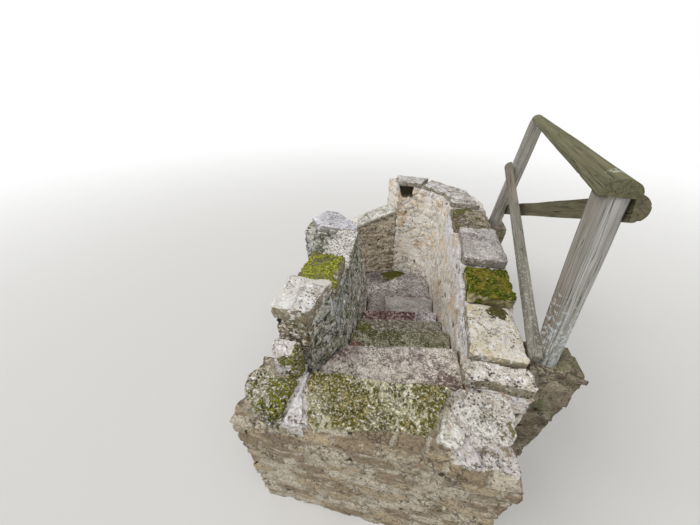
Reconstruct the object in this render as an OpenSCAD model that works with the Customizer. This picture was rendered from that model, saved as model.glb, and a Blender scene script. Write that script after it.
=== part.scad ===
// Outdoor stone steps between two rubble walls, turning left at the foot,
// with a pole fence on the retaining wall. All sizes are in millimetres.
// X is to the right of someone walking down, Y runs down the flight, Z is up.
// The origin is on the underside, below the front edge of the threshold.

/* [Flight] */
// Clear width between the walls, at the third tread
passage_w = 830; // [760:5:900]
// Height from one tread to the next
riser_h = 180; // [165:1:195]
// Depth of the top tread, nosing to nosing
first_going = 385; // [350:5:420]
// Depth of the second, third and fourth treads
going = 304; // [280:1:330]
// Depth of the broad fifth tread
broad_going = 480; // [440:5:520]
// Angle by which the nosings run away from square
skew = 9.5; // [5:0.5:11]
// Thickness of a tread slab
tread_t = 105; // [90:1:120]
// Overhang of a nosing past the riser below it
overhang = 28; // [15:1:40]
// Thickness of the course of stones below a nosing
riser_t = 120; // [90:5:150]
// Thickness of the slabs of the landing
landing_t = 100; // [80:1:130]
// Hollow worn in the middle of a tread
tread_wear = 9; // [4:1:14]
// Width of the open joint between a slab and a wall
joint = 8; // [4:1:14]

/* [Threshold] */
// Width of the threshold slab
threshold_w = 845; // [800:5:900]
// Depth of the threshold slab
threshold_l = 365; // [320:5:420]
// Thickness of the threshold slab
threshold_t = 115; // [95:5:130]
// Angle by which its front edge runs away from square
threshold_skew = 5; // [3:0.5:7]
// How far the threshold lies left of the middle of the flight
threshold_shift = 115; // [95:5:130]
// Width of the strip of mortar and edging stones left of the threshold
edging_w = 46; // [35:1:60]
// Width of the mossy block beyond the edging
side_block_w = 315; // [280:5:360]
// Height of the pale stone at the foot of the left wall, above the threshold
foot_rise = 230; // [180:5:260]
// Width of the pale stones right of the threshold
right_block_w = 300; // [260:5:340]

/* [Left wall] */
// Slope of the inner face of the left wall from the vertical
left_batter = 5.5; // [3:0.5:7]
// Turn of the left wall away from the flight, seen from above
left_turn = 2.5; // [1:0.5:3.5]
// Thickness of the left wall, at the third tread
left_wall_t = 315; // [290:5:360]
// Far end of the left wall beyond the threshold's front edge
left_wall_l = 1740; // [1700:10:1800]
// Start of the left wall from the threshold's front edge, on the middle line
left_start = -5; // [-20:1:20]
// Width by which its near end is splayed back
splay_w = 128; // [100:2:160]
// Start of the splay from the threshold's front edge
splay_start = 90; // [60:5:110]
// End of the splay, where the inner face runs straight
splay_end = 325; // [290:5:345]
// Height of the near coping above the threshold
left_top = 462; // [420:2:500]
// Drop from the near coping to the mossy one
mossy_drop = 92; // [60:2:110]
// Drop from the mossy coping to the speckled one
speckled_drop = 125; // [100:2:150]
// Drop from the speckled coping to the one on the return
return_drop = 8; // [4:2:40]
// Length of the near coping
near_coping_l = 284; // [260:2:320]
// Length of the mossy coping
mossy_coping_l = 400; // [360:5:430]
// Thickness of the copings
coping_t = 80; // [65:1:95]
// Overhang of the copings past the wall
coping_lip = 18; // [8:1:30]
// Length of the return wall at the foot of the steps, past the left wall
return_l = 340; // [300:5:420]
// Thickness of the return wall
return_t = 400; // [340:5:440]
// How far the wall's far corner is cut back, just under the coping
corner_cut = 290; // [220:5:320]

/* [Right wall] */
// Slope of the inner face of the right wall from the vertical
right_batter = 1.5; // [0:0.5:3]
// Turn of the right wall away from the flight, seen from above
right_turn = 0.5; // [0:0.5:1.5]
// Thickness of the right wall, at the third tread
right_wall_t = 345; // [310:5:390]
// Turn of its back away from the flight
back_turn = 2.6; // [1:0.1:4]
// Start of the right wall beyond the threshold's front edge
right_start = 60; // [30:5:90]
// Heights of the right copings above the threshold, near to far
right_tops = [34, 66, 132, 214, 176]; // [20:2:240]
// Lengths of the right copings but the last, near to far
right_lengths = [155, 485, 390, 610]; // [140:5:640]
// How far the first coping hangs over the steps
near_lip = 66; // [30:2:80]
// How far the second coping does at its near end
cream_lip = 22; // [0:2:30]
// Ledge left in front of the other copings
right_ledge = 14; // [8:1:30]
// Ledge left at the far end of the third and fourth copings
far_ledge = 38; // [20:1:60]

/* [Foot of the steps] */
// Distance from the left wall's end to the bend in the nosing of the winder
winder_l = 470; // [430:5:500]
// Turn of that nosing from square
winder_turn = 43; // [38:1:47]
// Clear width of the way out, between the return wall and the end wall
exit_w = 985; // [940:5:1040]
// Turn of the end wall from square
end_turn = 24; // [18:1:27]
// Slope of the end wall and the corner from the vertical
end_batter = 4; // [3:0.5:4.5]
// Thickness of the end wall at the height of the threshold
end_wall_t = 260; // [220:5:300]
// Depth of the end wall's coping below the threshold, where it meets the corner
end_drop = 235; // [200:5:270]
// Slope of that coping
end_slope = 19; // [15:1:21]
// Thickness of that coping
end_coping_t = 45; // [35:1:60]
// Radius of the curved corner at the floor
corner_foot_r = 445; // [430:5:460]
// How far round the bend the end wall reaches before the corner wall stands up
pier_in = 130; // [60:5:140]
// Height of the corner wall above the threshold
corner_top = 165; // [120:5:220]
// Width of the hole where a stone is missing under the cap
hole_w = 180; // [100:5:200]
// Height of that hole
hole_h = 150; // [90:5:170]
// Depth of that hole
hole_l = 190; // [150:5:220]

/* [Fence] */
// Diameter of the round posts
post_d = 132; // [115:1:145]
// Height of the fence above the ground
fence_h = 1070; // [1000:5:1150]
// Length of the bay, post to post
bay_l = 1945; // [1850:5:2050]
// Turn of the fence away from the flight
fence_turn = 3.4; // [2:0.1:5]
// Lean of the near post towards the steps
post_lean = 8.5; // [5:0.5:10]
// Lean of the far post away from them
far_lean = 4; // [0:0.5:6]
// Distance of the near post's middle from the back of the right wall
post_in = 125; // [120:5:160]
// Distance of the near post's middle from the near end of the right wall
post_start = 285; // [240:5:330]
// Length by which the braces run past the posts
brace_end = 2; // [0:1:30]
// Depth of a post in its socket
socket_l = 420; // [350:5:500]
// Play between a post and its socket
socket_play = 0.3; // [0.2:0.1:0.6]
// Masonry left round the outer sides of a socket
pier_edge = 60; // [40:5:90]
// Diameter of the half-round top rail at its near, thick end
rail_d = 140; // [125:1:155]
// Diameter of the rail at its far end
rail_far_d = 96; // [85:1:125]
// Length of the rail past each post
rail_end = 6; // [0:2:40]
// Rise of the rail from the near post to the far one
rail_rise = 40; // [20:5:80]
// Diameter of the two crossing half-round braces
brace_d = 110; // [95:1:120]
// Depth of the falling brace below the top of the near post
brace_drop = 70; // [60:5:140]
// Height of the falling brace on the far post
brace_low = 190; // [150:5:230]
// Height of the rising brace on the far post
brace_rise = 640; // [580:5:700]
// Depth to which a brace is let into a post
brace_notch = 4; // [3:1:8]

/* [Hidden] */
$fn = 48;

drops = 7;
ground_z = landing_t + drops * riser_h;
ref_y = first_going + 1.5 * going;
ref_z = ground_z - 3 * riser_h;
half = passage_w / 2;
left_out = -half - left_wall_t;
right_out = half + right_wall_t;
function right_back(y) = right_out + (y - right_start) * tan(back_turn);
// How far a shape that only cuts reaches past what it cuts
past = 60;
sky = 1200;

// Y of the nosings on the middle line, the threshold first
nose_y = [
    0, first_going, first_going + going, first_going + 2 * going,
    first_going + 3 * going, first_going + 3 * going + broad_going
];

// Inner faces of the two walls: X on the face, at a given Y and Z
function left_x(y, z) = -half - (z - ref_z) * tan(left_batter) - (y - ref_y) * tan(left_turn);
function right_x(y, z) = half + (z - ref_z) * tan(right_batter) + (y - ref_y) * tan(right_turn);

// Top of tread i, and the underside of its slab
function tread_z(i) = ground_z - i * riser_h;
function bed_z(i) = i == 0 ? ground_z - threshold_t : tread_z(i) - tread_t;

// Y of nosing i at a given X, and of the front and back of the riser stones under it
function turn_of(i) = i == 0 ? threshold_skew : skew;
function nosing(i, x) = nose_y[i] + x * tan(turn_of(i));
function riser_face(i, x) = nosing(i, x) - overhang / cos(turn_of(i));
function riser_back(i, x) = nosing(i, x) - (overhang + riser_t) / cos(turn_of(i));

// The way out runs along the far end of the left wall. The end wall leans back, and
// the curved corner is a cone that leans back as much and is tangent to it.
left_end = left_wall_l;
exit_x = left_out - return_l;
end_y = left_end + exit_w + half * tan(end_turn);
function end_face(x, z) = end_y + x * tan(end_turn) + z * tan(end_batter) / cos(end_turn);
function corner_r(z) = corner_foot_r + z * tan(end_batter);
corner_x = right_x(left_end, ground_z) - corner_r(ground_z);
corner = [corner_x, end_face(corner_x, 0) - corner_foot_r / cos(end_turn)];
corner_start = corner.y - 0.27 * corner_foot_r;
corner_out = right_back(corner_start) - corner.x;
end_out = corner_r(ground_z) + end_wall_t;
function on_corner(r, a) = corner + r * [cos(a), sin(a)];

// Stones
// A worn stone is an outline drawn in from its rim at the bottom and at the top,
// with an arris that is rounded off and a top that may be hollowed. Every point of
// the outline can be seen from its hub, which is its middle unless it is given.
function unit(v) = v / norm(v);
function turned(v) = [-v.y, v.x];
function wave(k, seed) = 0.5 + 0.5 * sin(97 * k + 61 * seed + 40 * sin(53 * k + seed));

// One side of an outline: points from a to b, cut back at the corners and wavy inwards
function side_points(a, b, n, cut, play, seed) =
    let (long = norm(b - a), along = unit(b - a), inwards = turned(along))
    let (trim = min(cut, long / 3))
    [for (k = [0:n]) let (s = trim + (long - 2 * trim) * k / n)
        a + along * s + inwards * play * wave(k, seed) * sin(180 * s / long)];

function rough(corners, n, cut, play, seed) = [
    for (i = [0:len(corners) - 1])
        each side_points(corners[i], corners[(i + 1) % len(corners)], n, cut, play, seed + 7 * i)
];

function middle(outline) = [for (p = outline) 1 / len(outline)] * outline;
function half_size(values) = (max(values) - min(values)) / 2;

// The outline drawn in towards its hub, by a distance at its farthest points
function inset(outline, hub, by) =
    let (kx = 1 - by / half_size([for (p = outline) p.x]), ky = 1 - by / half_size([for (p = outline) p.y]))
    [for (p = outline) hub + [kx * (p.x - hub.x), ky * (p.y - hub.y)]];
function ring_at(outline, z) = [for (p = outline) [p.x, p.y, z]];

// Side faces between ring k and the ring above it, with m points in each
function band(k, m) = [
    for (i = [0:m - 1]) let (j = (i + 1) % m)
        each [[k * m + i, (k + 1) * m + i, (k + 1) * m + j], [k * m + i, (k + 1) * m + j, k * m + j]]
];

module worn_stone(outline, top, t, arris = 16, wear = 0, at = undef) {
    m = len(outline);
    hub = at == undef ? middle(outline) : at;
    rings = [
        each ring_at(inset(outline, hub, arris / 4), top - t),
        each ring_at(outline, top - t * 0.7),
        each ring_at(outline, top - arris),
        each ring_at(inset(outline, hub, arris * 0.75), top - arris * 0.25),
        each ring_at(inset(outline, hub, arris * 1.5), top)
    ];
    bottom = [[for (i = [0:m - 1]) i]];
    sides = [for (k = [0:3]) each band(k, m)];
    fan = [for (i = [0:m - 1]) [5 * m, 4 * m + (i + 1) % m, 4 * m + i]];
    flat = [[for (i = [m - 1:-1:0]) 4 * m + i]];
    polyhedron(
        points = concat(rings, wear > 0 ? [[hub.x, hub.y, top - wear]] : []),
        faces = concat(wear > 0 ? fan : flat, sides, bottom), convexity = 6
    );
}

// A profile drawn in Y and Z, carried along X from x0 to x1
module across(x0, x1) {
    translate([x0, 0, 0]) rotate([90, 0, 90]) linear_extrude(x1 - x0) children();
}

// A body with six flat sides: a bottom outline of four points and a top one
module wedge(low, high) {
    polyhedron(points = concat(low, high), faces = [
        [0, 1, 2, 3], [7, 6, 5, 4], [0, 4, 5, 1], [1, 5, 6, 2], [2, 6, 7, 3], [3, 7, 4, 0]]);
}

// The open space between the walls, from below the floor to above the copings
open_y = -2 * threshold_l;
open_z = ground_z + sky;

function straight_ring(z) = [
    [left_x(open_y, z), open_y, z], [right_x(open_y, z), open_y, z],
    [right_x(corner_start, z), corner_start, z], [left_x(corner_start, z), corner_start, z]
];

splay_a = [left_x(0, tread_z(1)) - splay_w, splay_start];
splay_b = [left_x(splay_end, tread_z(1)), splay_end];

module splay_space() {
    far = splay_b + past * unit(splay_b - splay_a);
    translate([0, 0, -past]) linear_extrude(open_z + past)
        polygon([[splay_a.x, open_y], [0, open_y], [0, far.y], far, splay_a]);
}

module corner_space() {
    hull() for (z = [-past, open_z]) {
        translate([corner.x, corner.y, z]) cylinder(r = corner_r(z), h = 0.1, $fn = 64);
        translate([corner.x, corner_start, z]) cube([right_x(corner_start, z) - corner.x, 1, 0.1]);
    }
}

function exit_ring(z) =
    let (r = corner_r(z), x = corner.x - r * sin(end_turn), far_x = exit_x - 200)
    [
        [far_x, left_end, z], [x, left_end, z], [x, corner.y + r * cos(end_turn), z],
        [far_x, end_face(far_x, z), z]
    ];

// The far corner of the left wall is cut back more and more above the fifth tread
module cut_corner_space() {
    z0 = tread_z(5);
    grow = (open_z - z0) / (ground_z + left_top - mossy_drop - speckled_drop - coping_t - z0);
    leg = corner_cut * grow;
    at = [left_x(left_end, open_z), left_end];
    hull() {
        translate([left_x(left_end, z0), left_end, z0]) cube([1, 1, 0.1]);
        translate([at.x, at.y, open_z]) linear_extrude(0.1)
            polygon([[past, past], [-leg, past], [-leg, 0], [0, -leg], [past, -leg]]);
    }
}

module stair_space() {
    wedge(straight_ring(-past), straight_ring(open_z));
    splay_space();
    cut_corner_space();
    corner_space();
    wedge(exit_ring(-past), exit_ring(open_z));
    translate([left_x(left_end, 0) - past, left_end, -past])
        cube([corner.x - left_x(left_end, 0) + past, corner.y - left_end, open_z + past]);
}

// Threshold
threshold_left = -threshold_w / 2 - threshold_shift;
threshold_right = threshold_left + threshold_w;
stone_gap = 3;
tight = 0.3;
edging_left = threshold_left - stone_gap - edging_w;
block_right = edging_left - stone_gap;
block_left = block_right - side_block_w;
stones_right = threshold_right + right_block_w;
near_y = -threshold_l - 12;

module threshold_slab() {
    corners = [
        [threshold_left + 0.1 * threshold_w, -0.97 * threshold_l],
        [threshold_right - 0.17 * threshold_w, -0.73 * threshold_l],
        [threshold_right, nosing(0, threshold_right)], [threshold_left, nosing(0, threshold_left)],
        [threshold_left + 0.012 * threshold_w, -0.5 * threshold_l]
    ];
    color("darkkhaki") worn_stone(rough(corners, 6, 30, 12, 1), ground_z, threshold_t, 26, tread_wear);
}

module threshold_edging() {
    r = threshold_left - stone_gap;
    corners = [
        [r - edging_w, -0.98 * threshold_l], [r + 1.5 * edging_w, -threshold_l],
        [r + 0.012 * threshold_w - stone_gap, -0.5 * threshold_l],
        [r, nosing(0, r)], [r - 0.5 * edging_w, nosing(0, r)]
    ];
    hub = [r - 0.33 * edging_w, -0.55 * threshold_l];
    color("lavender") worn_stone(rough(corners, 4, 8, 3, 2), ground_z - 6, threshold_t - 6, 8, at = hub);
}

module threshold_left_stones() {
    l = block_left;
    r = block_right;
    w = side_block_w;
    seam = -0.3 * threshold_l;
    far = left_start - 4;
    block = [
        [r - 0.3 * w, near_y + 4], [r - 8, near_y + 14], [r, seam - 4], [l + 0.04 * w, seam - 2],
        [l, -0.55 * threshold_l], [l + 0.3 * w, -0.88 * threshold_l]
    ];
    foot_right = r + 0.3 * edging_w;
    foot = [[r - 0.5 * w, seam + 2], [foot_right, seam + 2], [foot_right, far], [r - 0.53 * w, far]];
    color("olivedrab") worn_stone(rough(block, 4, 30, 14, 3), ground_z + 12, threshold_t + 12, 26, 5);
    color("mistyrose")
        worn_stone(rough(foot, 4, 22, 8, 4), ground_z + foot_rise, threshold_t + foot_rise, 24, 4);
}

module threshold_right_stones() {
    l = threshold_right + stone_gap;
    r = stones_right;
    w = right_block_w;
    d = threshold_l;
    far = nosing(0, l);
    pale = [
        [l + 0.2 * w, -0.615 * d], [r - 0.16 * w, -0.66 * d], [r, -0.385 * d], [r, far], [l, far],
        [l - 0.16 * w, -0.32 * d]
    ];
    white = [
        [l - 0.45 * w, -0.78 * d], [l - 0.03 * w, -0.86 * d], [l + 0.13 * w, -0.59 * d],
        [l - 0.25 * w, -0.385 * d]
    ];
    color("gainsboro") worn_stone(rough(pale, 4, 28, 10, 5), ground_z + 4, threshold_t + 4, 22, 4);
    color("white") worn_stone(rough(white, 4, 24, 10, 6), ground_z + 8, threshold_t + 8, 22, 3);
}

module threshold_bed() {
    middle_x = left_x(0, 0) / 2;
    color("tan") difference() {
        linear_extrude(bed_z(0)) polygon([
            [block_left, near_y], [stones_right, near_y], [stones_right, right_start],
            [middle_x, right_start], [middle_x, left_start], [block_left, left_start]
        ]);
        intersection() {
            between(riser_line(0), [for (p = riser_line(0)) p + [0, 9 * passage_w]], open_z);
            stair_space();
        }
    }
}

// Steps
// The line along the back of the riser stones under nosing i, and along their front
wide = 2 * passage_w;
function riser_line(i) = [for (x = [-wide, wide]) [x, riser_back(i, x)]];
function face_line(i) = [for (x = [-wide, wide]) [x, riser_face(i, x)]];

// A block between two such lines, from the ground up to a height
module between(near, far, height) {
    linear_extrude(height) polygon([near[0], near[1], far[1], far[0]]);
}

// The slab of tread i reaches from its nosing back under the riser stones above it
function tread_left(i, y) = left_x(y, bed_z(i)) + joint;
function tread_right(i, y) = right_x(y, bed_z(i)) - joint;

function back_point(i, x) = [x, riser_back(i - 1, x)];
function front_points(i, x0, x1, bow) = [
    for (k = [0:4]) let (s = k / 4, x = x1 + (x0 - x1) * s) [x, nosing(i, x) - bow + bow * 4 * s * (1 - s)]
];

module tread(i, back, front, bow, seed) {
    rear = [for (x = back) back_point(i, x)];
    corners = concat(rear, front_points(i, front[0], front[1], bow));
    worn_stone(rough(corners, 3, 14, 8, seed), tread_z(i), tread_t, 16, tread_wear);
}

function back_ends(i) = [tread_left(i, nose_y[i - 1] - 2 * riser_t), tread_right(i, nose_y[i - 1] - riser_t)];
function front_ends(i) = [tread_left(i, nose_y[i]), tread_right(i, nose_y[i - 1])];

split_4 = 0.42 * half;
split_5 = -0.48 * half;

module step_1() {
    ends = [front_ends(1)[0], back_ends(1)[1]];
    splay = splay_a + joint * right_of(splay_b - splay_a);
    corners = concat(
        [back_point(1, splay.x), back_point(1, ends[1])], front_points(1, ends[0], ends[1], 6), [splay]
    );
    color("rosybrown") worn_stone(rough(corners, 3, 14, 6, 11), tread_z(1), tread_t, 16, tread_wear);
}

module step_2() { color("darkolivegreen") tread(2, back_ends(2), front_ends(2), 2, 12); }
module step_3() { color("slategray") tread(3, back_ends(3), front_ends(3), 4, 13); }

module step_4() {
    color("sienna") tread(4, [back_ends(4)[0], split_4 - 40], [front_ends(4)[0], split_4], 4, 14);
}

module step_4_end() {
    color("thistle")
        tread(4, [split_4 - 40 + stone_gap, back_ends(4)[1]], [split_4 + stone_gap, front_ends(4)[1]], 4, 15);
}

module step_5() {
    color("gray")
        tread(5, [split_5 + 90, back_ends(5)[1]], [split_5, front_ends(5)[1]], 16, 16);
}

module step_5_end() {
    color("dimgray") tread(5, [back_ends(5)[0], split_5 + 90 - stone_gap],
        [front_ends(5)[0], split_5 - stone_gap], 4, 17);
}

// The nosing of the winder turns round the end of the left wall and ends on the corner
winder_bend = [-0.615 * half, left_end + winder_l];
winder_line = [
    [-1.35 * half, left_end], [-1.28 * half, left_end + 0.68 * winder_l], winder_bend,
    winder_bend + 2 * passage_w * [cos(winder_turn), sin(winder_turn)]
];

// A line of points moved to its right by a distance, with its corners kept sharp
function right_of(v) = let (u = unit(v)) [u.y, -u.x];
function shifted(line, by) =
    let (last = len(line) - 1, n = [for (k = [0:last - 1]) right_of(line[k + 1] - line[k])])
    [for (k = [0:last])
        let (a = n[max(k - 1, 0)], b = n[min(k, last - 1)]) line[k] + by * (a + b) / (1 + a * b)];

// Where the line from p to q leaves a circle round the corner
function leaving(p, q, r) =
    let (d = unit(q - p), g = p - corner, b = g * d)
    p + d * (-b + sqrt(b * b - g * g + r * r));
function angle_at(p) = atan2(p.y - corner.y, p.x - corner.x);
function arc_points(r, a0, a1, n) = [for (k = [0:n]) on_corner(r, a0 + (a1 - a0) * k / n)];

// Angle at which a straight face from the right wall touches the corner
function touch_angle(r, x) =
    let (g = [x - corner.x, corner_start - corner.y]) atan2(g.y, g.x) + acos(r / norm(g));

module winder_step() {
    z = bed_z(6);
    r = corner_r(z) - joint;
    right = right_x(corner_start, z) - joint;
    front = leaving(winder_line[2], winder_line[3], r);
    left = left_x(left_end, z) + 2 * joint;
    back_y = nose_y[5] - riser_t;
    corners = concat(
        [back_point(6, tread_left(6, back_y)), back_point(6, tread_right(6, back_y)), [right, corner_start]],
        arc_points(r, touch_angle(r, right), angle_at(front), 3),
        [winder_line[2], winder_line[1], winder_line[0] + [0, joint], [left, left_end + 2 * joint]]
    );
    color("rosybrown") worn_stone(rough(corners, 3, 10, 5, 18), tread_z(6), tread_t, 16);
}

module landing_main() {
    r = corner_r(0) - joint;
    line = shifted(winder_line, overhang + riser_t - 2 * stone_gap);
    back = leaving(line[2], line[3], r);
    split = left_out;
    corners = concat(
        [[split, left_end + joint], [line[0].x, left_end + joint], line[1], line[2]],
        arc_points(r, angle_at(back), end_turn + 90, 5),
        [[split, end_face(split, 0) - joint / cos(end_turn)]]
    );
    hub = [line[0].x - joint, left_end + 0.6 * exit_w];
    color("darkkhaki") worn_stone(rough(corners, 3, 10, 5, 19), landing_t, landing_t, 14, at = hub);
}

module landing_side() {
    split = left_out - tight;
    far = [for (x = [split, exit_x]) [x, end_face(x, 0) - joint / cos(end_turn)]];
    corners = [[exit_x, left_end + joint], [split, left_end + joint], far[0], far[1]];
    color("gray") worn_stone(rough(corners, 5, 16, 8, 20), landing_t, landing_t, 14, 5);
}

module landing_slabs() {
    landing_main();
    landing_side();
}

// The stones of a riser stand on the back of the tread below and carry the nosing
module riser(i) {
    color("tan") intersection() {
        translate([0, 0, tread_z(i)]) between(riser_line(i - 1), face_line(i - 1), bed_z(i - 1) - tread_z(i));
        stair_space();
    }
}

module riser_1() { riser(1); }
module riser_2() { riser(2); }
module riser_3() { riser(3); }
module riser_4() { riser(4); }
module riser_5() { riser(5); }
module riser_6() { riser(6); }

module riser_7() {
    front = shifted(winder_line, overhang);
    back = shifted(winder_line, overhang + riser_t);
    color("tan") intersection() {
        translate([0, 0, landing_t]) linear_extrude(bed_z(6) - landing_t)
            polygon(concat(
                [front[0] - [0, past]], front, [back[3], back[2], back[1], back[0], back[0] - [0, past]]
            ));
        stair_space();
    }
}

module stair_bed() {
    line = shifted(winder_line, overhang + riser_t);
    color("tan") intersection() {
        union() {
            for (i = [1:5]) between(riser_line(i - 1), riser_line(i), bed_z(i));
            linear_extrude(bed_z(6)) polygon(concat(
                riser_line(5), [line[3], line[2], line[1], line[0]],
                [[line[0].x, left_end - past], [-wide, left_end - past]]
            ));
        }
        stair_space();
    }
}

// Left wall, with a seat at its own height for each coping
left_seats = [
    left_top, left_top - mossy_drop, left_top - mossy_drop - speckled_drop,
    left_top - mossy_drop - speckled_drop - return_drop
];
left_joints = [
    left_start, left_start + near_coping_l, left_start + near_coping_l + mossy_coping_l,
    left_end - return_t, left_end
];
function left_seat(k) = ground_z + left_seats[k] - coping_t;

module left_wall() {
    color("darkgray") difference() {
        across(left_out, 0) polygon(concat(
            [[left_end, 0], [left_start, 0]],
            [for (k = [0:3]) each [[left_joints[k], left_seat(k)], [left_joints[k + 1], left_seat(k)]]]
        ));
        stair_space();
    }
}

// A coping on the left wall: k counts from the near end
module left_coping(k, near_in, far_in, far_out, arris, seed) {
    y0 = left_joints[k] + (k == 0 ? -coping_lip : stone_gap);
    y1 = left_joints[k + 1];
    face = [for (y = [y0, y1]) left_x(y, left_seat(k)) + coping_lip];
    corners = [
        [left_out - coping_lip, y0], [face[0] - near_in, y0], [face[1] - far_in, y1],
        [left_out - coping_lip + far_out, y1]
    ];
    worn_stone(rough(corners, 5, 26, 12, seed), ground_z + left_seats[k], coping_t, arris);
}

module left_coping_near() { color("ivory") left_coping(0, 0.5 * splay_w, 0, 0, 18, 31); }
module left_coping_mossy() { color("yellowgreen") left_coping(1, 0, 6, 10, 26, 32); }
module left_coping_speckled() { color("antiquewhite") left_coping(2, 4, 10, 55, 20, 33); }

module return_wall() {
    color("darkgray")
        translate([exit_x, left_end - return_t, 0]) cube([return_l, return_t, left_seat(3)]);
}

module return_coping() {
    y0 = left_end - return_t + stone_gap;
    y1 = left_end + coping_lip;
    face = left_x(left_end, left_seat(3)) + coping_lip;
    corners = [
        [exit_x + 12, y0 + 0.5 * return_t], [exit_x + 0.4 * return_l, y0 + 24], [left_out, y0],
        [face - 6, y0], [face - 40, y1 - corner_cut], [face - corner_cut, y1 - 30],
        [exit_x + 0.4 * return_l, y1 - 20]
    ];
    color("lavender") worn_stone(rough(corners, 3, 24, 10, 34), ground_z + left_seats[3], coping_t, 16, 3);
}

// End wall, drawn along X in its own frame, with its right end at the corner
module beside_end(y0, y1) {
    translate([corner.x, corner.y, 0]) rotate(end_turn)
        translate([0, y1, 0]) rotate([90, 0, 0]) linear_extrude(y1 - y0) children();
}

end_l = (corner.x - exit_x) / cos(end_turn) + pier_in;
end_top = ground_z - end_drop;
function end_z(x) = end_top + x * tan(end_slope);

module exit_side() {
    translate([exit_x, -9 * passage_w, -past]) cube([9 * passage_w, 18 * passage_w, open_z]);
}

module end_wall() {
    t = end_coping_t / cos(end_slope);
    color("tan") intersection() {
        difference() {
            beside_end(corner_foot_r - past, end_out) polygon([
                [-end_l, 0], [pier_in, 0], [pier_in, end_z(pier_in) - t], [-end_l, end_z(-end_l) - t]
            ]);
            stair_space();
        }
        exit_side();
    }
}

module end_coping() {
    t = end_coping_t / cos(end_slope);
    count = 3;
    step = end_l / count;
    y0 = corner_r(end_top) - coping_lip;
    color("lightgray") intersection() {
        for (k = [0:count - 1]) beside_end(y0 + 5 * (k % 2), end_out + coping_lip) {
            b = pier_in - k * step - (k == 0 ? 0 : stone_gap);
            a = pier_in - (k + 1) * step;
            polygon([[a, end_z(a) - t], [b, end_z(b) - t], [b, end_z(b)], [a, end_z(a)]]);
        }
        exit_side();
    }
}

// Corner wall, with a hole high in its face
hole_angle = 87;
hole_z = ground_z + corner_top - hole_h;

module corner_wall() {
    color("burlywood") difference() {
        intersection() {
            translate([corner.x, corner.y, 0]) cylinder(r = corner_out, h = ground_z + corner_top, $fn = 96);
            translate([corner.x - corner_out, corner_start, 0])
                cube([3 * corner_out, 3 * corner_out, open_z]);
            translate([corner.x, corner.y, 0]) rotate(end_turn)
                translate([pier_in, -2 * corner_out, 0]) cube([2 * corner_out, 4 * corner_out, open_z]);
        }
        stair_space();
        translate([corner.x, corner.y, hole_z]) rotate(hole_angle)
            translate([corner_r(hole_z) - past, -hole_w / 2, 0]) cube([hole_l + past, hole_w, hole_h + past]);
    }
}

// The loose stones on top of the corner: each spans from angle a0 to a1
module cap_stone(a0, a1, rise, seed) {
    r0 = corner_r(ground_z + corner_top) + 12;
    r1 = corner_out - 60;
    inner = [for (a = [a1, (a0 + a1) / 2, a0]) on_corner(r0, a)];
    corners = concat(inner, [on_corner(r1, a0), on_corner(r1, a1)]);
    worn_stone(rough(corners, 4, 26, 14, seed), ground_z + corner_top + rise, rise, 20, 4);
}

module corner_cap() {
    color("whitesmoke") {
        cap_stone(-8, 28, 64, 41);
        cap_stone(30, 66, 48, 42);
        cap_stone(68, 100, 66, 43);
    }
}

// Right wall, with a seat at its own height for each coping
right_joints = [
    right_start, right_start + right_lengths[0], right_start + right_lengths[0] + right_lengths[1],
    right_start + right_lengths[0] + right_lengths[1] + right_lengths[2],
    right_start + right_lengths[0] + right_lengths[1] + right_lengths[2] + right_lengths[3], corner_start
];
function right_seat(k) = ground_z + right_tops[k] - coping_t;

module right_wall() {
    color("burlywood") difference() {
        intersection() {
            across(0, right_back(corner_start)) polygon(concat(
                [[corner_start, 0], [right_start, 0]],
                [for (k = [0:4]) each [[right_joints[k], right_seat(k)], [right_joints[k + 1], right_seat(k)]]]
            ));
            linear_extrude(open_z) polygon([
                [0, right_start - past], [right_back(right_start - past), right_start - past],
                [right_back(corner_start + past), corner_start + past], [0, corner_start + past]
            ]);
        }
        stair_space();
    }
}

// A coping on the right wall, with the ledge in front of its near end and of its far end
module right_coping(k, ledges, arris, seed) {
    y0 = right_joints[k] + stone_gap;
    y1 = right_joints[k + 1];
    z = right_seat(k);
    back = [for (y = [y0, y1]) k > 1 ? right_back(y) : right_out];
    corners = [
        [right_x(y0, z) + ledges[0], y0], [back[0], y0], [back[1], y1], [right_x(y1, z) + ledges[1], y1]
    ];
    worn_stone(rough(corners, 5, 26, 12, seed), ground_z + right_tops[k], coping_t, arris, 3);
}

module right_coping_1() { color("cornsilk") right_coping(0, [-near_lip, -near_lip], 18, 51); }
module right_coping_2() { color("ivory") right_coping(1, [-cream_lip, right_ledge], 20, 52); }
module right_coping_3() { color("olivedrab") right_coping(2, [right_ledge, far_ledge], 28, 53); }
module right_coping_4() { color("silver") right_coping(3, [right_ledge, far_ledge], 20, 54); }
module right_coping_5() { color("tan") right_coping(4, [right_ledge, right_ledge], 20, 55); }

// Fence
near_base = [right_out + post_in, right_start + post_start, ground_z];
far_base = near_base + bay_l * [sin(fence_turn), cos(fence_turn), 0];
rail_a = near_base + fence_h * [-tan(post_lean), 0, 1];
rail_b = far_base + (fence_h + rail_rise) * [tan(far_lean), 0, 1];
// Distance of a brace's flat side from the middle of a post
brace_in = post_d / 2 - brace_notch;
brace_high = fence_h - brace_drop;

// Children lie along Y: they are turned to run from a to b
module along(a, b) {
    d = b - a;
    translate(a) rotate([atan2(d.z, norm([d.x, d.y])), 0, -atan2(d.x, d.y)]) children();
}

// A pole split down its middle lies along Y, with its round side up
module split_pole(y0, y1, d0, d1) {
    difference() {
        translate([0, y0, 0]) rotate([-90, 0, 0]) cylinder(d1 = d0, d2 = d1, h = y1 - y0);
        translate([-d0, y0 - 1, -d0]) cube([2 * d0, y1 - y0 + 2, d0]);
    }
}

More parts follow.
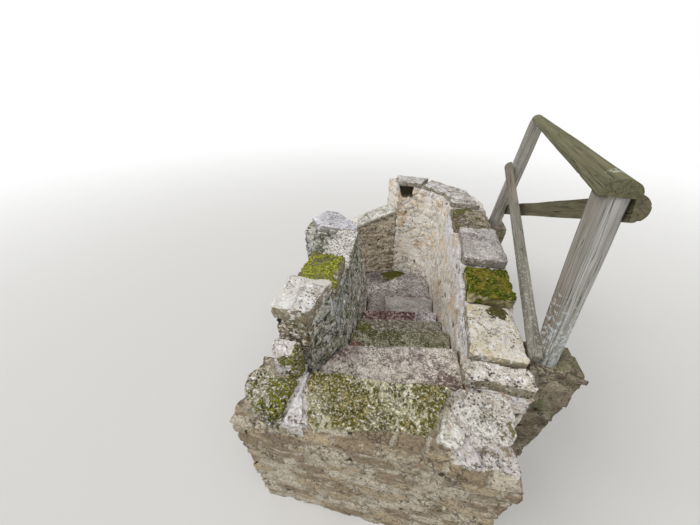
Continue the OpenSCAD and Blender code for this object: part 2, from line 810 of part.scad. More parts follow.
module trunk(base, lean, play = 0) {
    translate(base) rotate([0, lean, 0]) translate([0, 0, -socket_l])
        cylinder(d = post_d + 2 * play, h = socket_l + 1.4 * fence_h);
}

module near_trunk(play = 0) { trunk(near_base, -post_lean, play); }
module far_trunk(play = 0) { trunk(far_base, far_lean, play); }

module under_rail() {
    along(rail_a, rail_b) translate([-2 * post_d, -4 * post_d, -3 * fence_h])
        cube([4 * post_d, bay_l + 8 * post_d, 3 * fence_h]);
}

module near_post() {
    color("silver") intersection() {
        near_trunk();
        under_rail();
    }
}

module far_post() {
    color("silver") intersection() {
        far_trunk();
        under_rail();
    }
}

module top_rail() {
    reach = post_d / 2 + rail_end;
    color("darkkhaki") along(rail_a, rail_b)
        split_pole(-reach, norm(rail_b - rail_a) + reach, rail_d, rail_far_d);
}

// A brace turns its flat side to the posts and is scribed to them: side is 1 beyond
// the posts and -1 on the side of the steps. Its foot is cut level with the ground.
module brace(a, b, side) {
    reach = post_d / 2 + brace_end;
    difference() {
        along(a, b) rotate([0, 90 * side, 0]) split_pole(-reach, norm(b - a) + reach, brace_d, brace_d);
        near_trunk(socket_play);
        far_trunk(socket_play);
        translate([0, 0, ground_z - brace_d]) cube([3 * passage_w, 6 * passage_w, brace_d]);
    }
}

module brace_falling() {
    a = near_base + [brace_in - brace_high * tan(post_lean), 0, brace_high];
    b = far_base + [brace_in + brace_low * tan(far_lean), 0, brace_low];
    color("sienna") brace(a, b, 1);
}

module brace_rising() {
    a = near_base + [-brace_in, 0, brace_d / 2];
    b = far_base + [-brace_in + brace_rise * tan(far_lean), 0, brace_rise];
    color("gray") brace(a, b, -1);
}

// A pier against the back of the right wall holds the foot of a post
module pier(base, lean) {
    foot_x = base.x - socket_l * tan(lean);
    side = post_d / 2 + pier_edge;
    far_x = max(base.x, foot_x) + side;
    y0 = base.y - side;
    y1 = base.y + side;
    color("tan") difference() {
        linear_extrude(ground_z)
            polygon([[right_back(y0), y0], [far_x, y0], [far_x, y1], [right_back(y1), y1]]);
        trunk(base, lean, socket_play);
    }
}

module near_pier() { pier(near_base, -post_lean); }
module far_pier() { pier(far_base, far_lean); }

threshold_slab();
threshold_edging();
threshold_left_stones();
threshold_right_stones();
threshold_bed();
step_1();
step_2();
step_3();
step_4();
step_4_end();
step_5();
step_5_end();
winder_step();
landing_slabs();
riser_1();
riser_2();
riser_3();
riser_4();
riser_5();
riser_6();
riser_7();
stair_bed();
left_wall();
left_coping_near();
left_coping_mossy();
left_coping_speckled();
return_wall();
return_coping();
end_wall();
end_coping();
corner_wall();
corner_cap();
right_wall();
right_coping_1();
right_coping_2();
right_coping_3();
right_coping_4();
right_coping_5();
near_pier();
far_pier();
near_post();
far_post();
top_rail();
brace_falling();
brace_rising();
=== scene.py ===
import math

import bpy
import numpy as np
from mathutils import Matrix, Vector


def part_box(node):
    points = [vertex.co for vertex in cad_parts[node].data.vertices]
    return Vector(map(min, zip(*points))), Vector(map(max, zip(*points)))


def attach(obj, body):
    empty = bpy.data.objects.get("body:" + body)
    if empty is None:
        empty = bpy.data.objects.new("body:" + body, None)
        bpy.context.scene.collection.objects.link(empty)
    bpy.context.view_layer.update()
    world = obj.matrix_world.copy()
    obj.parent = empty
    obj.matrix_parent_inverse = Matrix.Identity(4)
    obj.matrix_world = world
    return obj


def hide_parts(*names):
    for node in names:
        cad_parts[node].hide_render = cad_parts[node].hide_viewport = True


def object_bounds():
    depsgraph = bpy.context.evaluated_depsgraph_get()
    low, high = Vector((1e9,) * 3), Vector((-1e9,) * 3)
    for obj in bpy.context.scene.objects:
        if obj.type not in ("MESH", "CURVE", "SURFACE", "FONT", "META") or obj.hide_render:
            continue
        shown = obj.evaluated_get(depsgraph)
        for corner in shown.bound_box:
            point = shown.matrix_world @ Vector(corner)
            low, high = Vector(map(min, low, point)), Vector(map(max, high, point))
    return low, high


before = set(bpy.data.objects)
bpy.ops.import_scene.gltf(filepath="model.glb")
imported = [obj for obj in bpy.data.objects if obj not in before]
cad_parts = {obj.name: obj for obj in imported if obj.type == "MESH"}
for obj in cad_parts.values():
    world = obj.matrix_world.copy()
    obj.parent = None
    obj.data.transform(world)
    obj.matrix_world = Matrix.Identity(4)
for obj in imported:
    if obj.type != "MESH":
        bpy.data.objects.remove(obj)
cadBounds = [list(corner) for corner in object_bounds()]

# Sizes of the flight, in metres and degrees, as in the part
flight = {
    "half": 0.415,
    "refY": 0.841,
    "refZ": 0.82,
    "groundZ": 1.36,
    "landingZ": 0.1,
    "riser": 0.18,
    "treadThick": 0.105,
    "thresholdThick": 0.115,
    "thresholdFoot": 1.245,
    "noseY": [0.0, 0.385, 0.689, 0.993, 1.297, 1.777],
    "skew": 9.5,
    "thresholdSkew": 5.0,
    "overhang": 0.028,
    "riserThick": 0.12,
    "leftBatter": 5.5,
    "leftTurn": 2.5,
    "rightBatter": 1.5,
    "rightTurn": 0.5,
    "leftOut": -0.73,
    "rightOut": 0.76,
    "leftEnd": 1.74,
    "exitX": -1.07,
    "exitWidth": 0.985,
    "endTurn": 24.0,
    "endBatter": 4.0,
    "cornerFootR": 0.445,
    "cornerRun": 0.27,
    "cornerTop": 0.165,
    "rightStart": 0.06,
    "backTurn": 2.6,
}
closeUp = 0.0055  # grid of the stones nearest the camera
skin = 0.0005  # a surface stays this far inside the box of the whole and off what it touches


def tanOf(degrees):
    return math.tan(math.radians(degrees))


def cosOf(degrees):
    return math.cos(math.radians(degrees))


def sinOf(degrees):
    return math.sin(math.radians(degrees))


# Inner face of the left wall: it leans back with height and turns away with distance
def leftX(y, z):
    lean = (z - flight["refZ"]) * tanOf(flight["leftBatter"])
    return -flight["half"] - lean - (y - flight["refY"]) * tanOf(flight["leftTurn"])


# Inner face of the right wall, in the same way
def rightX(y, z):
    lean = (z - flight["refZ"]) * tanOf(flight["rightBatter"])
    return flight["half"] + lean + (y - flight["refY"]) * tanOf(flight["rightTurn"])


# Height of a tread, and of the bed that carries it
def treadZ(i):
    return flight["groundZ"] - i * flight["riser"]


def bedZ(i):
    return flight["groundZ"] - flight["thresholdThick"] if i == 0 else treadZ(i) - flight["treadThick"]


# Radius of the curved corner, a cone that leans back with height
def cornerR(z):
    return flight["cornerFootR"] + z * tanOf(flight["endBatter"])


endY = flight["leftEnd"] + flight["exitWidth"] + flight["half"] * tanOf(flight["endTurn"])
cornerX = rightX(flight["leftEnd"], flight["groundZ"]) - cornerR(flight["groundZ"])
cornerY = endY + cornerX * tanOf(flight["endTurn"]) - flight["cornerFootR"] / cosOf(flight["endTurn"])
cornerRun = flight["cornerRun"] * flight["cornerFootR"]
cornerStart = cornerY - cornerRun
cornerTop = flight["groundZ"] + flight["cornerTop"]


# Outer face of the right wall, which turns away from the flight
def rightBack(y):
    return flight["rightOut"] + (y - flight["rightStart"]) * tanOf(flight["backTurn"])


cornerOut = rightBack(cornerStart) - cornerX


# Noise and rubble, worked out for whole arrays of points

# Each lattice cell gets a number from 0 to 1: its three whole numbers and the seed are multiplied, mixed and
# folded
def cellRandom(cells, seed):
    c = cells.astype(np.int64).astype(np.uint32)
    k = c[:, 0] * np.uint32(0x8DA6B343) ^ c[:, 1] * np.uint32(0xD8163841) ^ c[:, 2] * np.uint32(0xCB1AB31F)
    k = k ^ np.uint32(seed * 0x9E3779B1 & 0xFFFFFFFF)
    k = (k ^ (k >> np.uint32(16))) * np.uint32(0x7FEB352D)
    k = (k ^ (k >> np.uint32(15))) * np.uint32(0x846CA68B)
    return (k ^ (k >> np.uint32(16))) / 4294967296.0


# Value noise from -1 to 1: the eight corners of a cell, blended by 3f^2 - 2f^3 along each axis
def softNoise(points, size, seed):
    q = points / size
    base = np.floor(q)
    f = q - base
    f = f * f * (3 - 2 * f)
    total = np.zeros(len(q))
    for corner in range(8):
        step = np.array([corner & 1, corner >> 1 & 1, corner >> 2 & 1])
        total += np.prod(np.where(step, f, 1 - f), axis=1) * cellRandom(base + step, seed)
    return 2 * total - 1


# Octaves of that noise, each half the size and half the strength of the one before
def roughNoise(points, size, seed, octaves=3):
    total = 0
    for k in range(octaves):
        total = total + softNoise(points + 0.37 * k, size / 2 ** k, seed + k) / 2 ** k
    return total / (2 - 2 ** (1 - octaves))


def smoothStep(low, high, x):
    t = np.clip((x - low) / (high - low), 0, 1)
    return t * t * (3 - 2 * t)


# A soft disc that says where moss or a stain lies: 1 inside, falling to 0 over the width of its edge
def disc(points, x, y, radius, soft):
    return smoothStep(radius + soft, radius, np.hypot(points[:, 0] - x, points[:, 1] - y))


# A setting worked out for each point: a function of the points' places or one number, and 0 if it's absent
def valueOf(settings, key, *places):
    value = settings.get(key, 0.0)
    return value(*places) if callable(value) else np.full(len(places[0]), value)


# A jittered lattice of stone middles, every second course shifted by half a stone. Returns for each point its
# cell, after the distance in metres to the joint with the next stone, the plane half way between two middles
def rubbleCells(points, size, seed):
    size = np.array(size)
    q = points / size
    base = np.floor(q)
    near = np.full(len(q), 90.0)
    second = np.full(len(q), 99.0)
    nearAt = np.zeros_like(q)
    secondAt = np.zeros_like(q)
    stone = np.zeros_like(q)
    jitter = np.array([0.33, 0.33, 0.24])
    for k in range(27):
        cell = base + np.array([k % 3, k // 3 % 3, k // 9]) - 1
        at = cell + 0.5 + jitter * (2 * np.stack([cellRandom(cell, seed + a) for a in (1, 2, 3)], axis=1) - 1)
        at[:, :2] += 0.5 * (cell[:, 2:] % 2) - 0.25
        d = np.sum((q - at) ** 2, axis=1)
        first = (d < near)[:, None]
        runnerUp = (d < second)[:, None] & ~first
        secondAt = np.where(first, nearAt, np.where(runnerUp, at, secondAt))
        second = np.where(first[:, 0], near, np.where(runnerUp[:, 0], d, second))
        nearAt = np.where(first, at, nearAt)
        stone = np.where(first, cell, stone)
        near = np.where(first[:, 0], d, near)
    gap = secondAt - nearAt
    long = np.linalg.norm(gap, axis=1)
    edge = (second - near) / (2 * long) / np.linalg.norm(gap / long[:, None] / size, axis=1)
    return edge, stone


# The ragged edge of a patch of moss, added to how far it covers a point
def mossWander(points, seed, fine):
    return 0.6 * roughNoise(points, 0.11, seed + 17, 4) + fine * softNoise(points, 0.02, seed + 23)


# Moss stands up in cushions: the size of a noise, whichever its sign, so that creases run where it's 0
def mossRelief(points, moss, depth, seed):
    large = np.abs(softNoise(points, 0.034, seed + 29))
    small = np.abs(softNoise(points, 0.016, seed + 31))
    return depth * moss * (0.3 + 1.3 * large + 0.6 * small)


# Meshes

# Quads between rings of points that follow each other, facing outwards
def ringQuads(steps, around):
    k = np.arange(around)
    onward = (k + 1) % around
    rows = (np.arange(steps) * around)[:, None]
    corners = [rows + k, rows + onward, rows + around + onward, rows + around + k]
    return np.stack(corners, axis=-1).reshape(-1, 4)


# Points on a unit box as s, t and w, quads that face outwards, and the bottom as one flat face.
# The four sides are a grid of the way round against height, the top is a grid of s against t.
def boxGrid(lengths, spacing):
    ns, nt, nw = [max(2, math.ceil(l / spacing)) for l in lengths]
    i, j = np.arange(ns), np.arange(nt)
    ringS = np.concatenate([i, np.full(nt, ns), ns - i, np.zeros(nt)]) / ns
    ringT = np.concatenate([np.zeros(ns), j, np.full(ns, nt), nt - j]) / nt
    around = len(ringS)
    innerS, innerT = np.meshgrid(np.arange(1, ns) / ns, np.arange(1, nt) / nt, indexing="ij")
    s = np.concatenate([np.tile(ringS, nw + 1), innerS.ravel()])
    t = np.concatenate([np.tile(ringT, nw + 1), innerT.ravel()])
    w = np.concatenate([np.repeat(np.arange(nw + 1), around) / nw, np.ones(innerS.size)])
    number = np.zeros((ns + 1, nt + 1), int)
    number[1:ns, 1:nt] = (nw + 1) * around + np.arange(innerS.size).reshape(ns - 1, nt - 1)
    ringI = np.rint(ringS * ns).astype(int)
    ringJ = np.rint(ringT * nt).astype(int)
    number[ringI, ringJ] = nw * around + np.arange(around)
    top = np.stack([number[:-1, :-1], number[1:, :-1], number[1:, 1:], number[:-1, 1:]], axis=-1)
    return {
        "s": s, "t": t, "w": w,
        "onTop": np.arange(len(s)) >= (nw + 1) * around,
        "quads": np.concatenate([ringQuads(nw, around), top.reshape(-1, 4)]),
        "lids": [np.arange(around)[::-1]],
    }


# Mean of the normals of the quads round each point, each the cross product of the quad's diagonals
def normalsOf(points, quads):
    a, b, c, d = (points[quads[:, k]] for k in range(4))
    face = np.cross(c - a, d - b)
    total = np.zeros_like(points)
    for k in range(4):
        for axis in range(3):
            total[:, axis] += np.bincount(quads[:, k], face[:, axis], len(points))
    return total / np.maximum(np.linalg.norm(total, axis=1), 1e-12)[:, None]


def joined(shapes):
    points, quads, lids, marks, start = [], [], [], {}, 0
    for shape in shapes:
        points.append(shape["points"])
        quads.append(shape["quads"] + start)
        lids += [lid + start for lid in shape["lids"]]
        for key, value in shape["marks"].items():
            marks.setdefault(key, []).append(value)
        start += len(shape["points"])
    return {
        "points": np.concatenate(points),
        "quads": np.concatenate(quads),
        "lids": lids,
        "marks": {key: np.concatenate(value) for key, value in marks.items()},
    }


# The mesh object of a shape, dressed, riding on the one body and standing for its nodes
def makePiece(name, shape, material, nodes):
    points = np.clip(shape["points"], np.array(cadBounds[0]) + skin, np.array(cadBounds[1]) - skin)
    corners = np.concatenate([shape["quads"].ravel(), *shape["lids"]]).astype(np.int32)
    totals = np.array([4] * len(shape["quads"]) + [len(lid) for lid in shape["lids"]], np.int32)
    mesh = bpy.data.meshes.new(name)
    mesh.vertices.add(len(points))
    mesh.vertices.foreach_set("co", points.astype(np.float32).ravel())
    mesh.loops.add(len(corners))
    mesh.loops.foreach_set("vertex_index", corners)
    mesh.polygons.add(len(totals))
    mesh.polygons.foreach_set("loop_start", np.concatenate([[0], np.cumsum(totals)[:-1]]).astype(np.int32))
    mesh.update(calc_edges=True)
    mesh.validate()
    mesh.polygons.foreach_set("use_smooth", np.ones(len(mesh.polygons), bool))
    for key, value in shape["marks"].items():
        kind, field = ("FLOAT", "value") if value.ndim == 1 else ("FLOAT_VECTOR", "vector")
        mesh.attributes.new(key, kind, "POINT").data.foreach_set(field, value.astype(np.float32).ravel())
    mesh.materials.append(material)
    print("%s: %d triangles" % (name, int(np.sum(totals - 2))))
    piece = bpy.data.objects.new(name, mesh)
    bpy.context.scene.collection.objects.link(piece)
    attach(piece, "root")
    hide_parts(*nodes)
    return piece


# Materials

# A colour written in sRGB from 0 to 255 as the linear colour that a socket takes
def linear(colour):
    return [((c / 255 + 0.055) / 1.055) ** 2.4 for c in colour] + [1]


class NodeTree:
    def __init__(self, owner):
        owner.use_nodes = True
        self.tree = owner.node_tree
        self.tree.nodes.clear()

    def fill(self, socket, value):
        if isinstance(value, bpy.types.NodeSocket):
            self.tree.links.new(value, socket)
        else:
            socket.default_value = value

    def node(self, kind, inputs=None, **settings):
        made = self.tree.nodes.new("ShaderNode" + kind)
        for key, value in settings.items():
            setattr(made, key, value)
        for key, value in (inputs or {}).items():
            self.fill(made.inputs[key], value)
        return made


class Shader(NodeTree):
    def __init__(self, name):
        self.material = bpy.data.materials.new(name)
        super().__init__(self.material)
        self.place = self.node("TexCoord").outputs["Object"]

    # Fractal noise from about 0.2 to 0.8, its grain in cells a metre
    def noise(self, scale, detail=5, rough=0.55, place=None, stretch=None, shift=0.0):
        place = place or self.place
        if stretch or shift:
            inputs = {"Vector": place, "Location": (shift, shift, shift), "Scale": stretch or (1, 1, 1)}
            place = self.node("Mapping", inputs).outputs[0]
        inputs = {"Vector": place, "Scale": scale, "Detail": detail, "Roughness": rough}
        return self.node("TexNoise", inputs).outputs[0]

    def maths(self, operation, a, b=0.0):
        return self.node("Math", {0: a, 1: b}, operation=operation).outputs[0]

    def step(self, value, low, high):
        inputs = {0: value, 1: low, 2: high, 3: 0.0, 4: 1.0}
        return self.node("MapRange", inputs, interpolation_type="SMOOTHSTEP").outputs[0]

    # The middle range of a noise spread over another range
    def spread(self, value, low, high):
        return self.node("MapRange", {0: value, 1: 0.3, 2: 0.7, 3: low, 4: high}).outputs[0]

    def mark(self, name):
        return self.node("Attribute", attribute_name=name).outputs["Fac"]

    # The share of the surface that a patch covers, from 0 to 1, with a soft or sharp edge
    def patches(self, scale, share, edge, detail, rough, shift):
        at = 0.5 + (0.5 - share) * 0.5
        return self.step(self.noise(scale, detail, rough, shift=shift), at - edge, at + edge)

    # 1 on the thin bands where a noise crosses its middle, falling to 0 at the given width
    def lines(self, scale, width, shift):
        gap = self.maths("ABSOLUTE", self.maths("SUBTRACT", self.noise(scale, 5, 0.6, shift=shift), 0.5))
        return self.maths("SUBTRACT", 1.0, self.step(gap, width * 0.4, width))

    # A piece's mark with its edge made ragged by noise, cut sharp at about half
    def ragged(self, mark, scale, strength, low, high, shift=0.0):
        wander = self.maths("SUBTRACT", self.noise(scale, 6, 0.7, shift=shift), 0.5)
        return self.step(self.raised(self.mark(mark), wander, strength), low, high)

    # The colour a where the share is 0 and b where it is 1
    def mix(self, share, a, b):
        made = self.node("Mix", data_type="RGBA", clamp_factor=True)
        self.fill(made.inputs[0], share)
        for key, value in ((6, a), (7, b)):
            self.fill(made.inputs[key], value if isinstance(value, bpy.types.NodeSocket) else linear(value))
        return made.outputs[2]

    # A tint laid over a colour, by a share that is weakened to at most the given strength
    def laid(self, colour, share, strength, tint):
        return self.mix(self.maths("MULTIPLY", share, strength), colour, tint)

    # The height raised or lowered by a socket times a number
    def raised(self, height, by, strength):
        return self.maths("ADD", height, self.maths("MULTIPLY", by, strength))

    def finish(self, colour, height, distance, roughness):
        bump = self.node("Bump", {"Height": height, "Distance": distance, "Strength": 1.0}).outputs[0]
        inputs = {"Base Color": colour, "Roughness": roughness, "Normal": bump, "Specular IOR Level": 0.25}
        surface = self.node("BsdfPrincipled", inputs)
        self.node("OutputMaterial", {"Surface": surface.outputs[0]})
        return self.material


# What a stone's look has where it names nothing else: scales in cells a metre, shares and strengths from 0 to
# 1, the raggedness of its moss, and the depth of its bump in metres
stoneDefaults = {
    "grain": 75,
    "mottle": 16,
    "broad": 4,
    "stoneShare": 0.7,
    "ragged": 1.7,
    "tuft": 170,
    "drift": 30,
    "contrast": 0.5,
    "bump": 0.008,
}


# Weathered stone. Three tints are mottled by noise, and the piece's own marks say where another tint lies:
# each stone's own, the sides, whose darker tint is painted shade on the steep faces, the mortar and the lime.
# Over these come veins and cracks, stains, brown patches of leaves, which at the foot of some risers also
# paint shade, lichen patches, a green film, painted shade in the holes and hollows, moss, flecks and black
# dots, and a fine grain darkens and lightens all of it.
def stoneMaterial(name, look):
    look = {**stoneDefaults, **look}
    sh = Shader(name)

    # A look's tint where noise makes patches of the given share and scale
    def patched(colour, key, strength, edge, detail, rough, shift):
        if key not in look:
            return colour
        tint, share, scale = look[key]
        return sh.laid(colour, sh.patches(scale, share, edge, detail, rough, shift), strength, tint)

    # A look's tint where the piece's mark of the same name lies
    def marked(colour, key, strength, scale, wander, low, high, shift=0.0):
        if key not in look:
            return colour
        return sh.laid(colour, sh.ragged(key, scale, wander, low, high, shift), strength, look[key])

    grain = sh.noise(look["grain"], 7, 0.75)
    mottle = sh.noise(look["mottle"], 6, 0.65, shift=0.9)
    broad = sh.noise(look["broad"], 4, 0.55, shift=3.1)
    colour = sh.mix(sh.step(mottle, 0.4, 0.6), look["tints"][0], look["tints"][1])
    colour = sh.mix(sh.step(broad, 0.44, 0.6), colour, look["tints"][2])
    height = sh.raised(grain, mottle, 0.6)
    if "stones" in look:
        pick = sh.mark("pick")
        for low, tint in zip((0.12, 0.38, 0.66), look["stones"]):
            colour = sh.laid(colour, sh.step(pick, low, low + 0.03), look["stoneShare"], tint)
    # Steep faces take the look's side tint, a darker tint that is painted shade on the slab's sides
    colour = marked(colour, "side", 0.9, 20, 1.0, 0.3, 0.7, 2.9)
    if "mortar" in look:
        mortar = sh.mix(sh.step(sh.noise(12, 6, 0.65, shift=1.7), 0.42, 0.6), *look["mortar"])
        colour = sh.laid(colour, sh.ragged("joint", 70, 0.8, 0.36, 0.6), 0.92, mortar)
    colour = marked(colour, "lime", 0.85, 15, 2.2, 0.4, 0.62, 6.1)
    for key, shift, deep in (("veins", 0.4, 0.3), ("cracks", 1.4, -0.8)):
        if key in look:
            tint, width, scale = look[key]
            broken = sh.patches(scale * 0.4, 0.62, 0.1, 3, 0.5, shift + 5)
            line = sh.maths("MULTIPLY", sh.lines(scale, width, shift), broken)
            colour = sh.laid(colour, line, 0.85, tint)
            height = sh.raised(height, line, deep)
    colour = patched(colour, "stain", 0.8, 0.05, 7, 0.7, 2.3)
    # Brown patches are leaf litter, and at the foot of some risers they are painted shade as well
    colour = marked(colour, "brown", 1.0, 40, 2.2, 0.5, 0.75, 4.4)
    colour = patched(colour, "lichen", 0.9, 0.03, 8, 0.72, 5.2)
    colour = patched(colour, "green", 0.75, 0.07, 7, 0.7, 6.6)
    # The dark tint is painted shade in the holes of the joints and in hollows
    colour = marked(colour, "dark", 0.92, 40, 0.5, 0.3, 0.6)
    if "moss" in look:
        moss = sh.ragged("moss", 48, look["ragged"], 0.42, 0.56, 9.4)
        tuft = sh.noise(look["tuft"], 5, 0.8, shift=8.1)
        drift = sh.noise(look["drift"], 5, 0.65, shift=1.2)
        mossColour = sh.mix(sh.step(tuft, 0.4, 0.62), look["moss"][0], look["moss"][1])
        mossColour = sh.mix(sh.step(drift, 0.48, 0.58), mossColour, look["moss"][2])
        colour = sh.mix(moss, colour, mossColour)
        height = sh.raised(height, sh.maths("MULTIPLY", moss, tuft), 1.4)
    colour = patched(colour, "flecks", 0.9, 0.02, 4, 0.65, 7.1)
    if "dots" in look:
        tint, share, scale = look["dots"]
        cells = sh.node("TexVoronoi", {"Vector": sh.place, "Scale": scale, "Randomness": 1.0})
        size = sh.maths("MULTIPLY", sh.patches(7, share, 0.12, 5, 0.6, 7.7), 0.34)
        distance = sh.raised(cells.outputs["Distance"], grain, 0.16)
        pores = sh.step(sh.maths("SUBTRACT", size, distance), -0.08, -0.03)
        colour = sh.laid(colour, pores, 0.9, tint)
        height = sh.raised(height, pores, -0.5)
    factor = sh.spread(grain, 1 - look["contrast"], 1 + look["contrast"])
    colour = sh.node("VectorMath", {0: colour, 3: factor}, operation="SCALE").outputs[0]
    height = sh.raised(height, sh.noise(260, 4, 0.6), 0.3)
    return sh.finish(colour, height, look["bump"], sh.spread(mottle, 0.78, 0.98))


# Weathered timber: fibres are noise stretched along the pole, read from the piece's own grain mark, with dark
# checks where a stretched noise crosses its middle, and algae and lichen in patches
def timberMaterial(name, look):
    sh = Shader(name)
    grainAt = sh.node("Attribute", attribute_name="grain").outputs["Vector"]
    fibre = sh.noise(1.0, 4, 0.6, grainAt, (190, 190, 5))
    band = sh.noise(1.0, 4, 0.55, grainAt, (34, 34, 1.6))
    crack = sh.noise(1.0, 2, 0.5, grainAt, (52, 52, 1.1), 3.0)
    gap = sh.maths("ABSOLUTE", sh.maths("SUBTRACT", crack, 0.5))
    check = sh.maths("SUBTRACT", 1.0, sh.step(gap, 0.003, 0.012))
    broad = sh.noise(4.5, 4, 0.55, shift=2.0)
    lichen = sh.ragged("crust", look.get("lichenScale", 42), 1.5, 0.46, 0.54, 5.0)
    colour = sh.mix(sh.step(fibre, 0.35, 0.65), look["tints"][0], look["tints"][1])
    colour = sh.laid(colour, sh.step(band, 0.45, 0.62), 0.7, look["tints"][2])
    colour = sh.laid(colour, sh.step(broad, 0.46, 0.62), look.get("algaeShare", 0.5), look["algae"])
    colour = sh.laid(colour, sh.mark("shade"), 0.85, look["brown"])
    colour = sh.laid(colour, lichen, 0.8, look["lichen"])
    colour = sh.laid(colour, check, 0.7, look["crack"])
    height = sh.raised(sh.maths("MULTIPLY", fibre, 0.7), check, -0.9)
    height = sh.raised(height, sh.noise(160, 4, 0.6), 0.3)
    return sh.finish(colour, height, 0.004, sh.spread(fibre, 0.72, 0.95))


# Slabs

rimRays = 720

# What a slab has where its settings name nothing else, in metres: its grid, how far it reaches past its CAD
# outline, which is read at the share cutAt of its thickness, the wear and slope of its top, the size of its
# roughness, the depths and sizes of its chips and pits, and how high its moss stands
slabDefaults = {
    "spacing": 0.009,
    "spread": 0.0,
    "cutAt": 0.45,
    "wear": 0.0,
    "slope": (0.0, 0.0),
    "roughSize": 0.085,
    "chips": 0.012,
    "chipSize": 0.06,
    "chipReach": 0.014,
    "pits": 0.002,
    "pitSize": 0.019,
    "mossDepth": 0.006,
}


# Distance from the hub to the outline in every direction: rays are crossed with the outline's segments
def rimTable(a, b, hub):
    angles = np.arange(rimRays) * 2 * math.pi / rimRays
    ux, uy = np.cos(angles)[:, None], np.sin(angles)[:, None]
    ax, ay = a[:, 0] - hub[0], a[:, 1] - hub[1]
    dx, dy = b[:, 0] - a[:, 0], b[:, 1] - a[:, 1]
    cross = ux * dy - uy * dx
    cross = np.where(np.abs(cross) < 1e-12, 1e-12, cross)
    reach = (ax * dy - ay * dx) / cross
    share = (ax * uy - ay * ux) / cross
    hit = (share > -0.001) & (share < 1.001) & (reach > 0)
    return np.where(hit, reach, 99.0).min(axis=1)


# The CAD solid's outline at a height: the two points where each triangle that crosses the height is cut by it
def cadRim(node, hub, height):
    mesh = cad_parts[node].data
    mesh.calc_loop_triangles()
    co = np.zeros(len(mesh.vertices) * 3, np.float32)
    mesh.vertices.foreach_get("co", co)
    tri = np.zeros(len(mesh.loop_triangles) * 3, np.int32)
    mesh.loop_triangles.foreach_get("vertices", tri)
    p = co.reshape(-1, 3).astype(float)[tri.reshape(-1, 3)]
    q = np.roll(p, -1, axis=1)
    crosses = (p[:, :, 2] > height) != (q[:, :, 2] > height)
    keep = crosses.sum(axis=1) == 2
    p, q, crosses = p[keep], q[keep], crosses[keep]
    lift = np.where(crosses, q[:, :, 2] - p[:, :, 2], 1)
    cut = p + (q - p) * ((height - p[:, :, 2]) / lift)[:, :, None]
    order = np.argsort(~crosses, axis=1, kind="stable")[:, :2]
    rows = np.arange(len(cut))
    return rimTable(cut[rows, order[:, 0], :2], cut[rows, order[:, 1], :2], hub)


# A worn slab. Its plan is a rectangle's grid, scaled direction by direction until its edge lies on the
# outline. The arris is a quarter circle between side and top, the top is hollowed by wear times (1 - m^2)^2
# where m is the share of the way to the edge, and noise roughens it, breaks its edges and heaps up its moss.
def slabShape(rim, hub, low, high, look, seed):
    angles = np.arange(rimRays + 1) * 2 * math.pi / rimRays
    rim = np.append(rim, rim[0]) + look["spread"]
    halfX = np.max(np.abs(rim * np.cos(angles)))
    halfY = np.max(np.abs(rim * np.sin(angles)))
    thick = high - low
    grid = boxGrid((2 * halfX, 2 * halfY, thick), look["spacing"])
    vx, vy = (2 * grid["s"] - 1) * halfX, (2 * grid["t"] - 1) * halfY
    turn = np.arctan2(vy, vx)
    m = np.maximum(np.abs(vx) / halfX, np.abs(vy) / halfY)
    reach = np.interp(turn % (2 * math.pi), angles, rim)
    arris = look["arris"]
    fromEdge = (1 - m) * reach
    fromTop = (1 - grid["w"]) * thick
    onTop = grid["onTop"]
    inner = onTop & (fromEdge > arris)
    lower = ~onTop & (fromTop > arris)
    byEdge, byTop = (np.clip(1 - away / arris, 0, 1) for away in (fromEdge, fromTop))
    phi = np.where(inner, math.pi / 2, np.where(onTop, 2 - byEdge, byTop) * math.pi / 4)
    inset = np.where(inner, fromEdge, arris * (1 - np.cos(phi)))
    inset = np.where(lower, arris * 0.25 * np.clip((fromTop / thick - 0.7) / 0.3, 0, 1), inset)
    z = np.where(onTop | (fromTop < arris), high - arris + arris * np.sin(phi), high - fromTop)
    share = np.clip((reach - inset) / reach, 0, 1)
    z = z - look["wear"] * (1 - share ** 2) ** 2 * onTop
    x = hub[0] + (reach - inset) * np.cos(turn)
    y = hub[1] + (reach - inset) * np.sin(turn)
    points = np.column_stack([x, y, z + ((x - hub[0]) * look["slope"][0] + (y - hub[1]) * look["slope"][1])])
    normals = normalsOf(points, grid["quads"])
    upward = np.clip(normals[:, 2], 0, 1)
    rimness = np.exp(-np.where(onTop, inset, fromTop) / look["chipReach"])
    broken = smoothStep(0.12, 0.42, roughNoise(points, look["chipSize"], seed + 7, 3))
    relief = look["rough"] * (roughNoise(points, look["roughSize"], seed, 4) - 0.3)
    relief = relief - look["chips"] * broken * rimness
    relief = relief - look["pits"] * smoothStep(0.25, 0.7, softNoise(points, look["pitSize"], seed + 13))
    moss = np.zeros(len(points))
    if "mossCover" in look:
        cover = valueOf(look, "mossCover", points)
        moss = smoothStep(-0.15, 0.25, mossWander(points, seed, 0.3) + cover + 0.35 * (upward - 1))
        relief = relief + mossRelief(points, moss, look["mossDepth"], seed) * (0.3 + 0.7 * upward)
    # The side mark is 1 on the steep faces, where the look's side tint paints shade
    marks = {
        "moss": moss,
        "side": 1 - smoothStep(0.1, 0.75, normals[:, 2]),
        "pick": valueOf(look, "pick", points),
        "brown": valueOf(look, "brownCover", points) * upward,
        "lime": valueOf(look, "limeCover", points),
    }
    firm = np.clip(grid["w"] * 4, 0, 1)
    points = points + normals * (relief * firm)[:, None]
    return {"points": points, "quads": grid["quads"], "lids": grid["lids"], "marks": marks}


